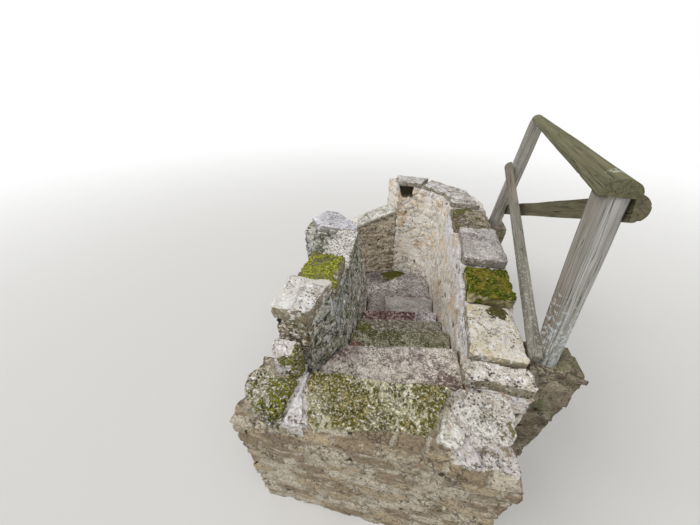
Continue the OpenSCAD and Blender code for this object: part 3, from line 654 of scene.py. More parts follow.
def slabPiece(settings):
    shapes = []
    for k, stone in enumerate(settings["stones"]):
        look = {**slabDefaults, **settings, **stone}
        low, high = stone["heights"]
        rim = cadRim(settings["node"], stone["hub"], high - look["cutAt"] * (high - low))
        shapes.append(slabShape(rim, stone["hub"], low, high, look, settings["seed"] + 31 * k))
    node = settings["node"]
    material = stoneMaterial(node + "_stone", settings["look"])
    return makePiece(node + "_worn", joined(shapes), material, [node])


print("materials and slab functions ready")

# The treads reach into the hollows between the walls' stones by their spread
tread = {
    "slot": "tread_stone",
    "arris": 0.017,
    "wear": 0.009,
    "rough": 0.005,
    "chips": 0.017,
    "spread": 0.012,
    "spacing": 0.0085,
}


def treadStone(node, hub, i, **more):
    stones = [{"hub": hub, "heights": (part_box(node)[0].z, treadZ(i))}]
    return slabPiece({"node": node, "stones": stones, **tread, **more})


slabPiece({
    "node": "threshold_slab", "slot": "mossy_stone", "seed": 101, "spacing": closeUp, "arris": 0.014,
    "wear": 0.008, "rough": 0.007, "chips": 0.016, "pits": 0.004,
    "stones": [{"hub": (-0.14, -0.19), "heights": (flight["thresholdFoot"], 1.36)}],
    "mossDepth": 0.008,
    "mossCover": lambda p: 0.16
    - 0.3 * disc(p, 0.28, -0.33, 0.06, 0.14)
    - 0.3 * disc(p, -0.42, -0.3, 0.05, 0.15)
    - 0.2 * disc(p, -0.05, -0.08, 0.05, 0.2),
    "look": {
        "tints": [(180, 174, 136), (208, 202, 170), (156, 150, 112)], "cracks": ((88, 82, 54), 0.03, 16),
        "lichen": ((228, 220, 200), 0.32, 34), "moss": [(92, 90, 22), (142, 134, 50), (182, 166, 104)],
        "flecks": ((250, 243, 224), 0.38, 80), "dots": ((66, 62, 38), 0.48, 60), "ragged": 2.6,
        "contrast": 0.7, "bump": 0.011,
    },
})

slabPiece({
    "node": "threshold_edging", "slot": "lichen_stone", "seed": 111, "spacing": closeUp, "arris": 0.014,
    "rough": 0.009, "chips": 0.018, "pits": 0.004,
    "stones": [{"hub": (-0.556, -0.2), "heights": (flight["thresholdFoot"], 1.354)}],
    "look": {
        "tints": [(238, 232, 232), (246, 242, 242), (218, 210, 206)], "side": (222, 214, 204),
        "cracks": ((166, 156, 142), 0.022, 22), "lichen": ((252, 250, 251), 0.48, 26),
        "flecks": ((178, 168, 156), 0.2, 60), "dots": ((140, 132, 124), 0.3, 80), "contrast": 0.36,
        "bump": 0.012,
    },
})

footHub = (-0.664, -0.058)


# Moss on the lower half of the foot stone's face and in patches on the block beside it
def footMoss(p):
    right = p[:, 0] - footHub[0]
    isFoot = p[:, 2] + 0.6 * right > flight["groundZ"] + 0.1 * (p[:, 0] < -0.7)
    onFoot = 0.95 * smoothStep(1.575, 1.5, p[:, 2] - 0.8 * right) - 0.3
    return np.where(isFoot, onFoot, 0.05 + 0.2 * disc(p, -0.62, -0.2, 0.06, 0.1))


slabPiece({
    "node": "threshold_left_stones", "slot": "mossy_stone", "seed": 121, "spacing": closeUp, "arris": 0.016,
    "rough": 0.01, "chips": 0.02, "pits": 0.004, "mossDepth": 0.009, "mossCover": footMoss,
    "stones": [
        {"hub": (-0.745, -0.245), "heights": (flight["thresholdFoot"], 1.372), "pick": 0.0},
        {"hub": footHub, "heights": (flight["thresholdFoot"], 1.59), "pick": 1.0, "arris": 0.038},
    ],
    "look": {
        "tints": [(142, 138, 108), (182, 174, 148), (104, 102, 76)],
        "stones": [(150, 146, 118), (196, 190, 168), (246, 238, 236)], "stoneShare": 0.85,
        "cracks": ((92, 86, 66), 0.02, 14), "lichen": ((240, 236, 228), 0.36, 24),
        "moss": [(86, 88, 22), (178, 176, 56), (118, 112, 62)], "tuft": 100,
        "flecks": ((244, 240, 232), 0.36, 75), "dots": ((60, 60, 46), 0.5, 50), "ragged": 2.2,
        "contrast": 0.7, "bump": 0.011,
    },
})

slabPiece({
    "node": "threshold_right_stones", "slot": "lichen_stone", "seed": 131, "spacing": closeUp,
    "arris": 0.016, "rough": 0.012, "chips": 0.02, "pits": 0.005, "mossDepth": 0.004,
    "mossCover": lambda p: -0.42 + 0.16 * disc(p, 0.5, -0.1, 0.05, 0.12),
    "stones": [
        {"hub": (0.44, -0.09), "heights": (flight["thresholdFoot"], 1.364), "pick": 0.0},
        {"hub": (0.265, -0.235), "heights": (flight["thresholdFoot"], 1.368), "pick": 1.0},
    ],
    "look": {
        "tints": [(220, 214, 204), (236, 232, 222), (200, 194, 182)],
        "stones": [(226, 218, 204), (234, 228, 216), (250, 247, 240)],
        "cracks": ((158, 150, 134), 0.016, 14), "stain": ((186, 174, 158), 0.34, 12),
        "lichen": ((244, 242, 236), 0.36, 24), "moss": [(142, 136, 96), (176, 168, 124), (160, 150, 116)],
        "flecks": ((150, 140, 116), 0.27, 60), "green": ((190, 184, 152), 0.26, 9),
        "dots": ((110, 102, 86), 0.46, 56), "ragged": 2.2, "bump": 0.011,
    },
})
print("threshold done")

treadStone(
    "step_1", (-0.06, 0.12), 1,
    seed=141,
    brownCover=lambda p: 0.45 * disc(p, 0.02, 0.19, 0.02, 0.04)
    + 0.75 * np.maximum(disc(p, -0.42, 0.24, 0.04, 0.12), disc(p, 0.3, 0.1, 0.08, 0.14)),
    look={
        "tints": [(216, 205, 190), (236, 227, 216), (206, 195, 186)], "cracks": ((120, 104, 94), 0.02, 12),
        "lichen": ((230, 222, 212), 0.36, 26), "brown": (128, 106, 98), "stain": ((142, 126, 118), 0.34, 7),
        "flecks": ((122, 106, 98), 0.3, 48), "dots": ((98, 84, 78), 0.4, 90), "side": (128, 112, 100),
        "contrast": 0.75,
    },
)
treadStone(
    "step_2", (0.0, 0.47), 2,
    seed=151, slot="mossy_stone", mossDepth=0.004,
    mossCover=lambda p: -0.3 * disc(p, 0.36, 0.5, 0.05, 0.08) - 0.4 * disc(p, -0.33, 0.42, 0.05, 0.08),
    brownCover=lambda p: 0.8 * disc(p, -0.36, 0.42, 0.07, 0.08),
    look={
        "tints": [(144, 142, 118), (170, 166, 142), (122, 120, 98)], "brown": (124, 84, 72),
        "moss": [(92, 92, 56), (124, 124, 76), (112, 106, 74)], "flecks": ((220, 214, 192), 0.33, 80),
        "dots": ((54, 50, 34), 0.55, 56), "side": (96, 92, 70), "ragged": 2.4, "contrast": 0.85,
    },
)
treadStone(
    "step_3", (0.0, 0.79), 3,
    seed=161, mossDepth=0.004,
    mossCover=lambda p: -0.34 + 0.5 * disc(p, -0.36, 0.8, 0.06, 0.1),
    look={
        "tints": [(154, 150, 134), (172, 167, 152), (132, 128, 112)], "cracks": ((88, 84, 66), 0.016, 9),
        "stain": ((112, 106, 82), 0.4, 9), "moss": [(92, 98, 40), (130, 134, 56), (112, 108, 62)],
        "flecks": ((206, 200, 182), 0.36, 40), "side": (88, 78, 62), "contrast": 0.9,
    },
)
treadStone(
    "step_4", (-0.1, 1.08), 4,
    seed=171, brownCover=0.42,
    look={
        "tints": [(154, 130, 126), (194, 170, 166), (122, 96, 92)], "brown": (112, 68, 62),
        "lichen": ((220, 202, 200), 0.36, 28), "flecks": ((60, 32, 30), 0.4, 30), "side": (88, 60, 52),
        "contrast": 0.8,
    },
)
treadStone(
    "step_4_end", (0.28, 1.13), 4,
    seed=181,
    look={
        "tints": [(226, 216, 222), (240, 232, 236), (202, 190, 194)], "cracks": ((116, 104, 108), 0.03, 14),
        "stain": ((140, 124, 126), 0.34, 14), "flecks": ((92, 78, 82), 0.34, 50), "side": (104, 84, 82),
        "contrast": 0.6,
    },
)
treadStone(
    "step_5", (0.1, 1.5), 5,
    seed=191,
    # Brown bands along its back and front edges: leaf litter, and painted shade along the risers behind and
    # below it
    brownCover=lambda p: 0.66 * np.maximum(
        smoothStep(1.42, 1.36, p[:, 1] - 0.16 * p[:, 0]),
        smoothStep(1.7, 1.76, p[:, 1] - 0.16 * p[:, 0]),
    ),
    look={
        "tints": [(200, 194, 190), (214, 208, 204), (184, 178, 174)], "cracks": ((124, 118, 110), 0.014, 7),
        "stain": ((150, 144, 138), 0.36, 8), "brown": (118, 88, 80), "flecks": ((130, 122, 116), 0.3, 60),
        "side": (100, 82, 74),
    },
)
treadStone(
    "step_5_end", (-0.3, 1.44), 5,
    seed=201,
    brownCover=lambda p: 0.3 + 0.2 * smoothStep(-0.3, -0.4, p[:, 0]),
    look={
        "tints": [(170, 162, 158), (192, 184, 180), (148, 138, 134)], "brown": (108, 78, 70),
        "flecks": ((96, 78, 72), 0.38, 45), "side": (96, 78, 70), "contrast": 0.65,
    },
)
treadStone(
    "winder_step", (-0.02, 1.95), 6,
    seed=211, spacing=0.0105, wear=0.0,
    # The brown patch at the left is leaf litter; the band along the back edge is leaf litter and painted shade
    # at the riser's foot
    brownCover=lambda p: np.maximum(
        0.6 * disc(p, -0.34, 1.9, 0.06, 0.14),
        0.66 * smoothStep(2.02, 1.88, p[:, 1]),
    ),
    look={
        "tints": [(186, 180, 176), (204, 198, 194), (164, 158, 154)], "cracks": ((108, 98, 92), 0.026, 10),
        "stain": ((144, 132, 128), 0.38, 12), "brown": (96, 66, 58), "flecks": ((90, 74, 72), 0.36, 34),
        "side": (96, 76, 68), "contrast": 0.8,
    },
)
slabPiece({
    "node": "landing_slabs", "slot": "tread_stone", "seed": 221, "arris": 0.014, "rough": 0.005,
    "spacing": 0.013, "mossDepth": 0.008,
    "mossCover": lambda p: -0.4 + 0.85 * disc(p, -0.1, 2.6, 0.15, 0.12),
    "brownCover": lambda p: 0.4 * disc(p, -0.45, 1.95, 0.1, 0.3),
    "stones": [
        {"hub": (-0.42, 2.33), "heights": (0.0, flight["landingZ"])},
        {"hub": (-0.9, 2.1), "heights": (0.0, flight["landingZ"])},
    ],
    "look": {
        "tints": [(144, 136, 130), (168, 160, 154), (120, 112, 106)], "cracks": ((82, 74, 68), 0.026, 9),
        "brown": (104, 78, 68), "moss": [(68, 74, 14), (98, 100, 28), (86, 80, 34)],
        "flecks": ((62, 48, 46), 0.38, 30), "contrast": 0.85,
    },
})
print("treads and landing done")

coping = {
    "slot": "lichen_stone",
    "arris": 0.014,
    "rough": 0.008,
    "chips": 0.018,
    "pits": 0.004,
    "spacing": 0.0085,
}


# A coping stone's hub is the middle of its box where the call names none
def copingStone(node, hub=None, **more):
    low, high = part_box(node)
    hub = hub or ((low.x + high.x) / 2, (low.y + high.y) / 2)
    return slabPiece({"node": node, "stones": [{"hub": hub, "heights": (low.z, high.z)}], **coping, **more})


paleDotted = {
    "tints": [(240, 236, 230), (249, 246, 243), (224, 219, 209)], "side": (150, 138, 112),
    "cracks": ((184, 176, 160), 0.012, 10), "stain": ((206, 198, 182), 0.3, 12),
    "lichen": ((248, 246, 242), 0.4, 20), "flecks": ((160, 152, 134), 0.17, 80),
    "dots": ((80, 74, 62), 0.46, 60), "contrast": 0.3, "bump": 0.01,
}
copingStone(
    "left_coping_near",
    seed=301, spacing=closeUp,
    limeCover=lambda p: 0.4 * disc(p, -0.72, 0.03, 0.05, 0.12),
    look={**paleDotted, "lime": (248, 246, 240), "side": (134, 120, 90)},
)
copingStone(
    "left_coping_mossy",
    seed=311, slot="mossy_stone", spacing=closeUp, mossDepth=0.012,
    mossCover=lambda p: 0.3 - 0.4 * smoothStep(-0.56, -0.46, p[:, 0]),
    look={
        "tints": [(176, 170, 146), (204, 198, 176), (146, 140, 112)], "cracks": ((84, 80, 60), 0.03, 14),
        "lichen": ((226, 222, 206), 0.34, 26), "moss": [(96, 104, 14), (222, 222, 72), (140, 136, 80)],
        "tuft": 80, "drift": 16, "flecks": ((228, 222, 184), 0.27, 75), "contrast": 0.65,
        "dots": ((60, 58, 40), 0.5, 60), "ragged": 2.0, "bump": 0.012,
    },
)
copingStone(
    "left_coping_speckled",
    seed=321,
    look={
        **paleDotted,
        "tints": [(218, 212, 202), (236, 232, 224), (192, 186, 170)], "flecks": ((78, 74, 60), 0.34, 55),
        "dots": ((58, 56, 46), 0.85, 42), "moss": [(96, 98, 44), (140, 136, 70), (120, 114, 66)],
        "contrast": 0.6,
    },
    mossDepth=0.005,
    mossCover=lambda p: -0.5 + 0.5 * disc(p, -0.58, 0.72, 0.05, 0.12),
)
copingStone(
    "return_coping", (-0.82, 1.56),
    seed=331,
    look={
        "tints": [(218, 216, 222), (232, 230, 236), (202, 198, 202)], "side": (158, 154, 146),
        "cracks": ((132, 126, 126), 0.02, 10), "lichen": ((236, 234, 238), 0.36, 18),
        "flecks": ((134, 128, 126), 0.3, 60), "dots": ((92, 88, 84), 0.45, 60), "contrast": 0.4,
    },
)
copingStone(
    "right_coping_1",
    seed=341, spacing=closeUp,
    look={
        **paleDotted,
        "tints": [(228, 218, 206), (240, 232, 222), (206, 194, 178)], "flecks": ((84, 76, 60), 0.3, 50),
        "dots": ((66, 60, 50), 0.6, 46), "moss": [(92, 88, 44), (126, 118, 62), (110, 102, 58)],
        "contrast": 0.55,
    },
    mossDepth=0.004,
    mossCover=lambda p: -0.34 + 0.34 * smoothStep(0.19, 0.215, p[:, 1]),
)
copingStone(
    "right_coping_2",
    seed=351, spacing=closeUp,
    look={
        **paleDotted,
        "tints": [(234, 226, 210), (244, 238, 226), (222, 210, 188)], "stain": ((220, 204, 166), 0.34, 9),
        "flecks": ((168, 154, 122), 0.27, 75), "dots": ((66, 60, 44), 0.5, 56),
        "moss": [(84, 80, 40), (116, 108, 56), (100, 92, 50)],
    },
    mossDepth=0.004,
    mossCover=lambda p: -0.5 + 0.62 * disc(p, 0.64, 0.63, 0.05, 0.08),
)
copingStone(
    "right_coping_3",
    seed=361, slot="mossy_stone", spacing=closeUp, arris=0.018, mossDepth=0.014,
    mossCover=lambda p: 0.4 - 0.3 * smoothStep(0.74, 0.7, p[:, 1]),
    look={
        "tints": [(170, 160, 122), (204, 194, 156), (134, 124, 86)],
        "moss": [(40, 48, 2), (132, 142, 26), (142, 132, 50)], "flecks": ((206, 198, 136), 0.24, 40),
        "tuft": 62, "drift": 11, "grain": 36, "contrast": 0.85, "bump": 0.014,
    },
)
copingStone(
    "right_coping_4",
    seed=371,
    look={
        "tints": [(206, 200, 194), (220, 214, 208), (186, 180, 174)], "side": (150, 142, 130),
        "cracks": ((128, 120, 114), 0.026, 9), "veins": ((236, 230, 222), 0.03, 8),
        "stain": ((168, 160, 154), 0.36, 10), "flecks": ((128, 120, 114), 0.33, 60),
        "dots": ((84, 76, 70), 0.45, 52),
    },
)
copingStone(
    "right_coping_5",
    seed=381, slot="rubble", rough=0.014, mossDepth=0.008, mossCover=-0.06,
    look={
        "tints": [(150, 140, 122), (180, 170, 150), (122, 112, 96)], "cracks": ((74, 64, 52), 0.03, 12),
        "lichen": ((214, 206, 188), 0.32, 22), "moss": [(86, 86, 40), (120, 116, 58), (102, 96, 56)],
        "stain": ((104, 80, 68), 0.4, 12), "flecks": ((198, 190, 168), 0.28, 60),
    },
)


def onCorner(radius, degrees):
    return (cornerX + radius * cosOf(degrees), cornerY + radius * sinOf(degrees))


# The loose stones on the curved corner: how far round each one lies, in degrees, and how high it is
capStones = ((10, 0.064), (48, 0.048), (84, 0.066))
capRadius = 0.73
slabPiece({
    "node": "corner_cap",
    **coping,
    "seed": 391, "spacing": 0.0115,
    "stones": [
        {"hub": onCorner(capRadius, at), "heights": (cornerTop, cornerTop + high)} for at, high in capStones
    ],
    "look": {
        "tints": [(212, 208, 204), (230, 226, 222), (186, 180, 174)], "side": (172, 162, 144),
        "cracks": ((120, 112, 102), 0.024, 12), "stain": ((150, 142, 130), 0.36, 11),
        "lichen": ((236, 232, 228), 0.36, 20), "flecks": ((112, 104, 92), 0.32, 55),
        "dots": ((74, 70, 60), 0.45, 50),
    },
})


# The end wall's own frame: along it and away from the corner, turned by the end wall's turn
def endFrame(x, y):
    turn = flight["endTurn"]
    return cornerX + x * cosOf(turn) - y * sinOf(turn), cornerY + x * sinOf(turn) + y * cosOf(turn)


# Where the wall starts in that frame, at the way out's end, for a distance from the corner
def endStart(y):
    return (flight["exitX"] - cornerX + y * sinOf(flight["endTurn"])) / cosOf(flight["endTurn"])


endCoping = {
    "drop": 0.235,
    "slope": 19.0,
    "thick": 0.045,
    "lip": 0.018,
    "pierIn": 0.13,
    "wallThick": 0.26,
    "gap": 0.003,
    "slabs": 3,
    "stagger": 0.005,
}
endLong = (cornerX - flight["exitX"]) / cosOf(flight["endTurn"]) + endCoping["pierIn"]
endOut = cornerR(flight["groundZ"]) + endCoping["wallThick"]
endTop = flight["groundZ"] - endCoping["drop"]
endThick = endCoping["thick"] / cosOf(endCoping["slope"])  # of the coping, straight down


# The top of the coping rises with its slope along the wall
def endZ(x):
    return endTop + x * tanOf(endCoping["slope"])


# The three thin slabs on the end wall, each a four-sided outline on the sloping plane of the wall's top
def endCopingPiece(settings):
    shapes = []
    step = endLong / endCoping["slabs"]
    turn, rise = flight["endTurn"], tanOf(endCoping["slope"])
    for k in range(endCoping["slabs"]):
        a = endCoping["pierIn"] - (k + 1) * step
        b = endCoping["pierIn"] - k * step - (0 if k == 0 else endCoping["gap"])
        y0 = cornerR(endTop) - endCoping["lip"] + endCoping["stagger"] * (k % 2)
        y1 = endOut + endCoping["lip"]
        starts = [a, a]
        if min(endFrame(a, y)[0] for y in (y0, y1)) < flight["exitX"]:
            starts = [endStart(y) for y in (y0, y1)]
        corners = np.array([endFrame(x, y) for x, y in ((starts[0], y0), (b, y0), (b, y1), (starts[1], y1))])
        hub = corners.mean(axis=0)
        rim = rimTable(corners, np.roll(corners, -1, axis=0), hub)
        high = endZ((hub[0] - cornerX) * cosOf(turn) + (hub[1] - cornerY) * sinOf(turn))
        look = {**slabDefaults, **settings, "slope": (rise * cosOf(turn), rise * sinOf(turn))}
        shapes.append(slabShape(rim, hub, high - endThick, high, look, settings["seed"] + 31 * k))
    material = stoneMaterial("end_coping_stone", settings["look"])
    return makePiece("end_coping_worn", joined(shapes), material, ["end_coping"])


endCopingPiece({
    "seed": 401, "spacing": 0.0115, "arris": 0.012, "rough": 0.005, "chips": 0.014,
    "look": {
        "tints": [(216, 212, 202), (232, 228, 220), (192, 188, 176)], "side": (188, 182, 168),
        "cracks": ((116, 110, 98), 0.022, 10), "lichen": ((232, 228, 218), 0.36, 18),
        "flecks": ((120, 114, 100), 0.3, 50), "stain": ((150, 144, 128), 0.34, 10),
    },
})
print("copings done")


# Masonry

# What a stretch of masonry has where its settings name nothing else, in metres: its grid and lowest height, how
# far noise bends its joints, how proud, tilted, rounded and rough its stones are, half a joint's width, the
# mortar's level, the plaster's thickness and roughness, how much is smeared with it, the depth, size and rarity
# of the holes in the joints, and how high its moss stands. The sizes are those of the noise.
masonryDefaults = {
    "spacing": 0.011,
    "bottom": 0.0,
    "bend": 0.022,
    "bendSize": 0.17,
    "kinkSize": 0.06,
    "proud": 0.016,
    "lean": 0.02,
    "rounding": 0.019,
    "rough": 0.005,
    "roughSize": 0.06,
    "jointHalf": 0.007,
    "level": -0.013,
    "plaster": 0.007,
    "plasterRough": 0.009,
    "plasterSize": 0.075,
    "smear": 0.0,
    "smearSize": 0.26,
    "holes": 0.014,
    "holeSize": 0.06,
    "holeShare": 0.42,
    "mossDepth": 0.006,
}


# A stretch of masonry between two faces. For the share s of its length and the share t of its thickness, a
# point lies at that share of the way from the near face to the far one, and at the share w of the way up to
# its top. Its faces are rubble: each stone stands proud by its own amount and is rounded towards the joints.
def masonryPiece(settings):
    settings = {**masonryDefaults, **settings}
    grid = boxGrid(settings["lengths"], settings["spacing"])
    s, t, w = grid["s"], grid["t"], grid["w"]
    bottom = settings["bottom"]
    z = bottom + w * (valueOf(settings, "top", s, t) - bottom)
    near = np.stack(settings["near"](s, z), axis=1)
    far = np.stack(settings["far"](s, z), axis=1)
    points = np.column_stack([near + (far - near) * t[:, None], z])
    normals = normalsOf(points, grid["quads"])
    seed = settings["seed"]
    bend = np.stack([softNoise(points, settings["bendSize"], seed + k) for k in (40, 41, 42)], axis=1)
    kink = np.stack([softNoise(points, settings["kinkSize"], seed + k) for k in (43, 44, 45)], axis=1)
    edge, stone = rubbleCells(points + settings["bend"] * (bend + 0.4 * kink), settings["stoneSize"], seed)
    proud = settings["proud"] * (0.2 + 0.8 * cellRandom(stone, seed + 6))
    half = settings["jointHalf"]
    body = 1 - (1 - np.clip((edge - half * 0.6) / settings["rounding"], 0, 1)) ** 2
    tilt = np.stack([cellRandom(stone, seed + k) - 0.5 for k in (7, 8, 9)], axis=1)
    inCell = points / np.array(settings["stoneSize"]) - stone - 0.5
    lean = settings["lean"] * np.sum(tilt * inCell, axis=1)
    inStone = smoothStep(half * 0.5, half * 1.8, edge)
    smear = smoothStep(0.02, 0.4, roughNoise(points, settings["smearSize"], seed + 50, 4) + settings["smear"])
    bare = (proud + lean) * body + settings["rough"] * roughNoise(points, settings["roughSize"], seed + 60, 3)
    uneven = roughNoise(points, settings["plasterSize"], seed + 70, 3)
    plaster = settings["plaster"] + settings["plasterRough"] * uneven
    relief = settings["level"] + bare * (1 - smear) + np.maximum(plaster, bare * 0.8) * smear
    # Holes in the joints are sunk, and the dark mark paints their shade with the look's dark tint
    holes = smoothStep(settings["holeShare"], 0.75, softNoise(points, settings["holeSize"], seed + 80))
    holes = holes * smoothStep(0.02, 0.004, edge)
    relief = relief - settings["holes"] * holes
    moss = np.zeros(len(points))
    if "mossCover" in settings:
        moss = smoothStep(-0.1, 0.25, mossWander(points, seed, 0.25) + valueOf(settings, "mossCover", points))
        relief = relief + mossRelief(points, moss, settings["mossDepth"], seed)
    marks = {
        "joint": np.maximum(1 - inStone, smear * 0.6), "pick": cellRandom(stone, seed + 5), "moss": moss,
        "lime": valueOf(settings, "limeCover", points), "brown": valueOf(settings, "brownCover", points),
        "dark": np.maximum(holes, valueOf(settings, "holeShadeCover", points)),
    }
    points[:, :2] += normals[:, :2] * relief[:, None]
    points[:, 2] += normals[:, 2] * relief * (w >= 1e-6)
    shape = {"points": points, "quads": grid["quads"], "lids": grid["lids"], "marks": marks}
    material = stoneMaterial(settings["name"], settings["look"])
    return makePiece(settings["name"], shape, material, settings["nodes"])


leftWall = {
    "start": -0.005,
    "joints": [-0.005, 0.279, 0.679, 1.34, 1.74],
    "seats": [0.462, 0.370, 0.245, 0.237],
    "splayWidth": 0.128,
    "splayStart": 0.09,
    "splayEnd": 0.325,
    "cornerCut": 0.29,
    "copingThick": 0.08,
    "stepHalf": 0.004,
    "leastThick": 0.002,
}


# Height that steps from seat to seat along a wall, over 4 mm either side of each joint
def seatHeight(y, joints, seats):
    blend = leftWall["stepHalf"]
    height = np.full(np.shape(y), flight["groundZ"] + seats[0] - leftWall["copingThick"])
    for joint, before, after in zip(joints[1:-1], seats[:-1], seats[1:]):
        height = height + (after - before) * smoothStep(joint - blend, joint + blend, y)
    return height


def leftY(s):
    return leftWall["start"] + s * (flight["leftEnd"] - leftWall["start"])


# The inner face is the nearest to the wall's back of three: the battered one, the splay and the cut corner
def leftInner(s, z):
    y = leftY(s)
    splayX0 = leftX(0, treadZ(1)) - leftWall["splayWidth"]
    splayX1 = leftX(leftWall["splayEnd"], treadZ(1))
    share = (y - leftWall["splayStart"]) / (leftWall["splayEnd"] - leftWall["splayStart"])
    splay = splayX0 + (splayX1 - splayX0) * np.clip(share, 0, 3)
    z0 = treadZ(5)
    z1 = flight["groundZ"] + leftWall["seats"][2] - leftWall["copingThick"]
    leg = leftWall["cornerCut"] * np.clip((z - z0) / (z1 - z0), 0, None)
    cut = leftX(flight["leftEnd"], z) + flight["leftEnd"] - y - leg
    x = np.minimum(np.minimum(leftX(y, z), splay), cut)
    return np.maximum(x, flight["leftOut"] + leftWall["leastThick"]), y


rubbleLeft = {
    "tints": [(198, 196, 185), (220, 218, 208), (168, 168, 150)],
    "stones": [(216, 212, 200), (178, 174, 150), (238, 234, 228)],
    "mortar": [(232, 232, 232), (196, 196, 186)], "lime": (218, 220, 226), "brown": (138, 118, 84),
    "veins": ((238, 238, 234), 0.04, 15), "cracks": ((84, 84, 64), 0.032, 11),
    "green": ((124, 130, 92), 0.4, 9), "dark": (74, 74, 54), "flecks": ((76, 74, 52), 0.37, 30),
    "moss": [(84, 90, 34), (126, 132, 52), (108, 108, 56)], "grain": 46, "contrast": 0.9, "bump": 0.01,
}

masonryPiece({
    "name": "left_wall_rubble", "nodes": ["left_wall"], "seed": 500, "spacing": 0.014,
    "lengths": (1.776, 0.3, 1.55), "stoneSize": (0.17, 0.2, 0.1),
    "top": lambda s, t: seatHeight(leftY(s), leftWall["joints"], leftWall["seats"]),
    "near": leftInner,
    "far": lambda s, z: (np.full(len(s), flight["leftOut"]), leftY(s)),
    "limeCover": lambda p: 0.75
    * smoothStep(1.25, 1.42, p[:, 2])
    * smoothStep(0.15, 0.3, p[:, 1])
    * smoothStep(0.75, 0.5, p[:, 1]),
    "brownCover": lambda p: 0.62 * smoothStep(0.2, 0.06, p[:, 1]) * smoothStep(1.34, 1.44, p[:, 2]),
    "mossCover": lambda p: -0.42
    + 0.5 * disc(p, -0.47, 1.1, 0.05, 0.2) * smoothStep(1.1, 1.35, p[:, 2])
    + 0.1 * smoothStep(0.3, 0.1, p[:, 1]) * smoothStep(1.36, 1.5, p[:, 2]),
    "look": rubbleLeft,
})

# The short wall from the left wall's back to the way out's end
returnWall = {"start": 1.34, "long": 0.4}
masonryPiece({
    "name": "return_wall_rubble", "nodes": ["return_wall"], "seed": 500, "spacing": 0.016,
    "lengths": (0.4, 0.34, 1.5), "stoneSize": (0.17, 0.2, 0.1),
    "top": flight["groundZ"] + leftWall["seats"][3] - leftWall["copingThick"],
    "near": lambda s, z: (np.full(len(s), flight["leftOut"]), returnWall["start"] + returnWall["long"] * s),
    "far": lambda s, z: (np.full(len(s), flight["exitX"]), returnWall["start"] + returnWall["long"] * s),
    "mossCover": lambda p: -0.5 + 0.3 * smoothStep(1.3, 1.55, p[:, 2]),
    "look": rubbleLeft,
})

# The right wall and the corner wall run into each other by their lap
rightWall = {
    "start": flight["rightStart"],
    "joints": [0.06, 0.215, 0.7, 1.09, 1.7, cornerStart],
    "tops": [0.034, 0.066, 0.132, 0.214, 0.176],
    "lap": 0.014,
}


def rightY(s):
    return rightWall["start"] + s * (cornerStart - rightWall["start"])


# Both faces of the right wall run on by the lap over the last hundredth of its length
def rightFace(s, x):
    return x, rightY(s) + rightWall["lap"] * smoothStep(0.99, 1.0, s)


rubbleRight = {
    "tints": [(247, 236, 220), (252, 247, 238), (242, 226, 206)],
    "stones": [(248, 238, 222), (238, 218, 190), (252, 248, 242)],
    "mortar": [(252, 248, 240), (244, 234, 218)], "lime": (246, 244, 248),
    "veins": ((250, 248, 242), 0.045, 9), "cracks": ((164, 142, 116), 0.014, 9),
    "stain": ((228, 200, 168), 0.38, 3.4), "dark": (128, 112, 88), "flecks": ((190, 170, 142), 0.23, 44),
    "lichen": ((252, 250, 246), 0.36, 16), "moss": [(104, 100, 54), (138, 130, 76), (120, 112, 70)],
    "grain": 60, "contrast": 0.45, "bump": 0.01,
}
masonryPiece({
    "name": "right_wall_rubble", "nodes": ["right_wall"], "seed": 520, "spacing": 0.015,
    "lengths": (2.2, 0.4, 1.45), "stoneSize": (0.2, 0.21, 0.12), "smear": 0.1, "holeShare": 0.5,
    "top": lambda s, t: seatHeight(rightY(s), rightWall["joints"], rightWall["tops"]),
    "near": lambda s, z: rightFace(s, rightBack(rightY(s))),
    "far": lambda s, z: rightFace(s, rightX(rightY(s), z)),
    "limeCover": lambda p: 0.85 * smoothStep(1.18, 1.34, p[:, 2]) + 0.35 * smoothStep(0.9, 0.5, p[:, 1]),
    "mossCover": -0.7, "look": rubbleRight,
})

# The hole where a stone is missing: how far round it lies, in degrees, its width, height and depth, and how
# far below the wall's top its own top lies
cornerWall = {
    "pierIn": 0.13,
    "holeAt": 87.0,
    "holeWidth": 0.18,
    "holeHigh": 0.15,
    "holeDeep": 0.13,
    "holeUnder": 0.04,
}


# The corner wall goes round the corner: s turns it from the right wall's end to the end wall's line
def aroundCorner(radius, s):
    start = -np.arcsin(cornerRun / radius)
    end = math.radians(flight["endTurn"]) + np.arccos(cornerWall["pierIn"] / radius)
    return start + s * (end - start) - rightWall["lap"] / radius * smoothStep(0.01, 0.0, s)


# The outer face is a cylinder round the corner's middle
def cornerOuter(s, z):
    turn = aroundCorner(np.full(len(s), cornerOut), s)
    return cornerX + cornerOut * np.cos(turn), cornerY + cornerOut * np.sin(turn)


# The inner face lies at the cone's radius over the cosine of the turn before the point of touch. In the hole,
# an ellipse with a ragged edge, it is pushed outwards by the hole's depth.
def cornerInner(s, z):
    r = cornerR(z)
    turn = aroundCorner(r, s)
    gx, gy = rightX(cornerStart, z) - cornerX, cornerStart - cornerY
    touch = np.arctan2(gy, gx) + np.arccos(np.clip(r / np.hypot(gx, gy), -1, 1))
    reach = r / np.cos(np.minimum(turn - touch, 0))
    across = r * np.abs(turn - math.radians(cornerWall["holeAt"])) / (cornerWall["holeWidth"] / 2)
    under = np.maximum(cornerTop - cornerWall["holeUnder"] - z, 0)
    under = under / (cornerWall["holeHigh"] - cornerWall["holeUnder"])
    wander = 0.3 * softNoise(np.column_stack([turn, turn, z]), 0.07, 555)
    hole = smoothStep(1.15, 0.85, np.hypot(across, under) + wander)
    reach = reach + cornerWall["holeDeep"] * hole
    return cornerX + reach * np.cos(turn), cornerY + reach * np.sin(turn)


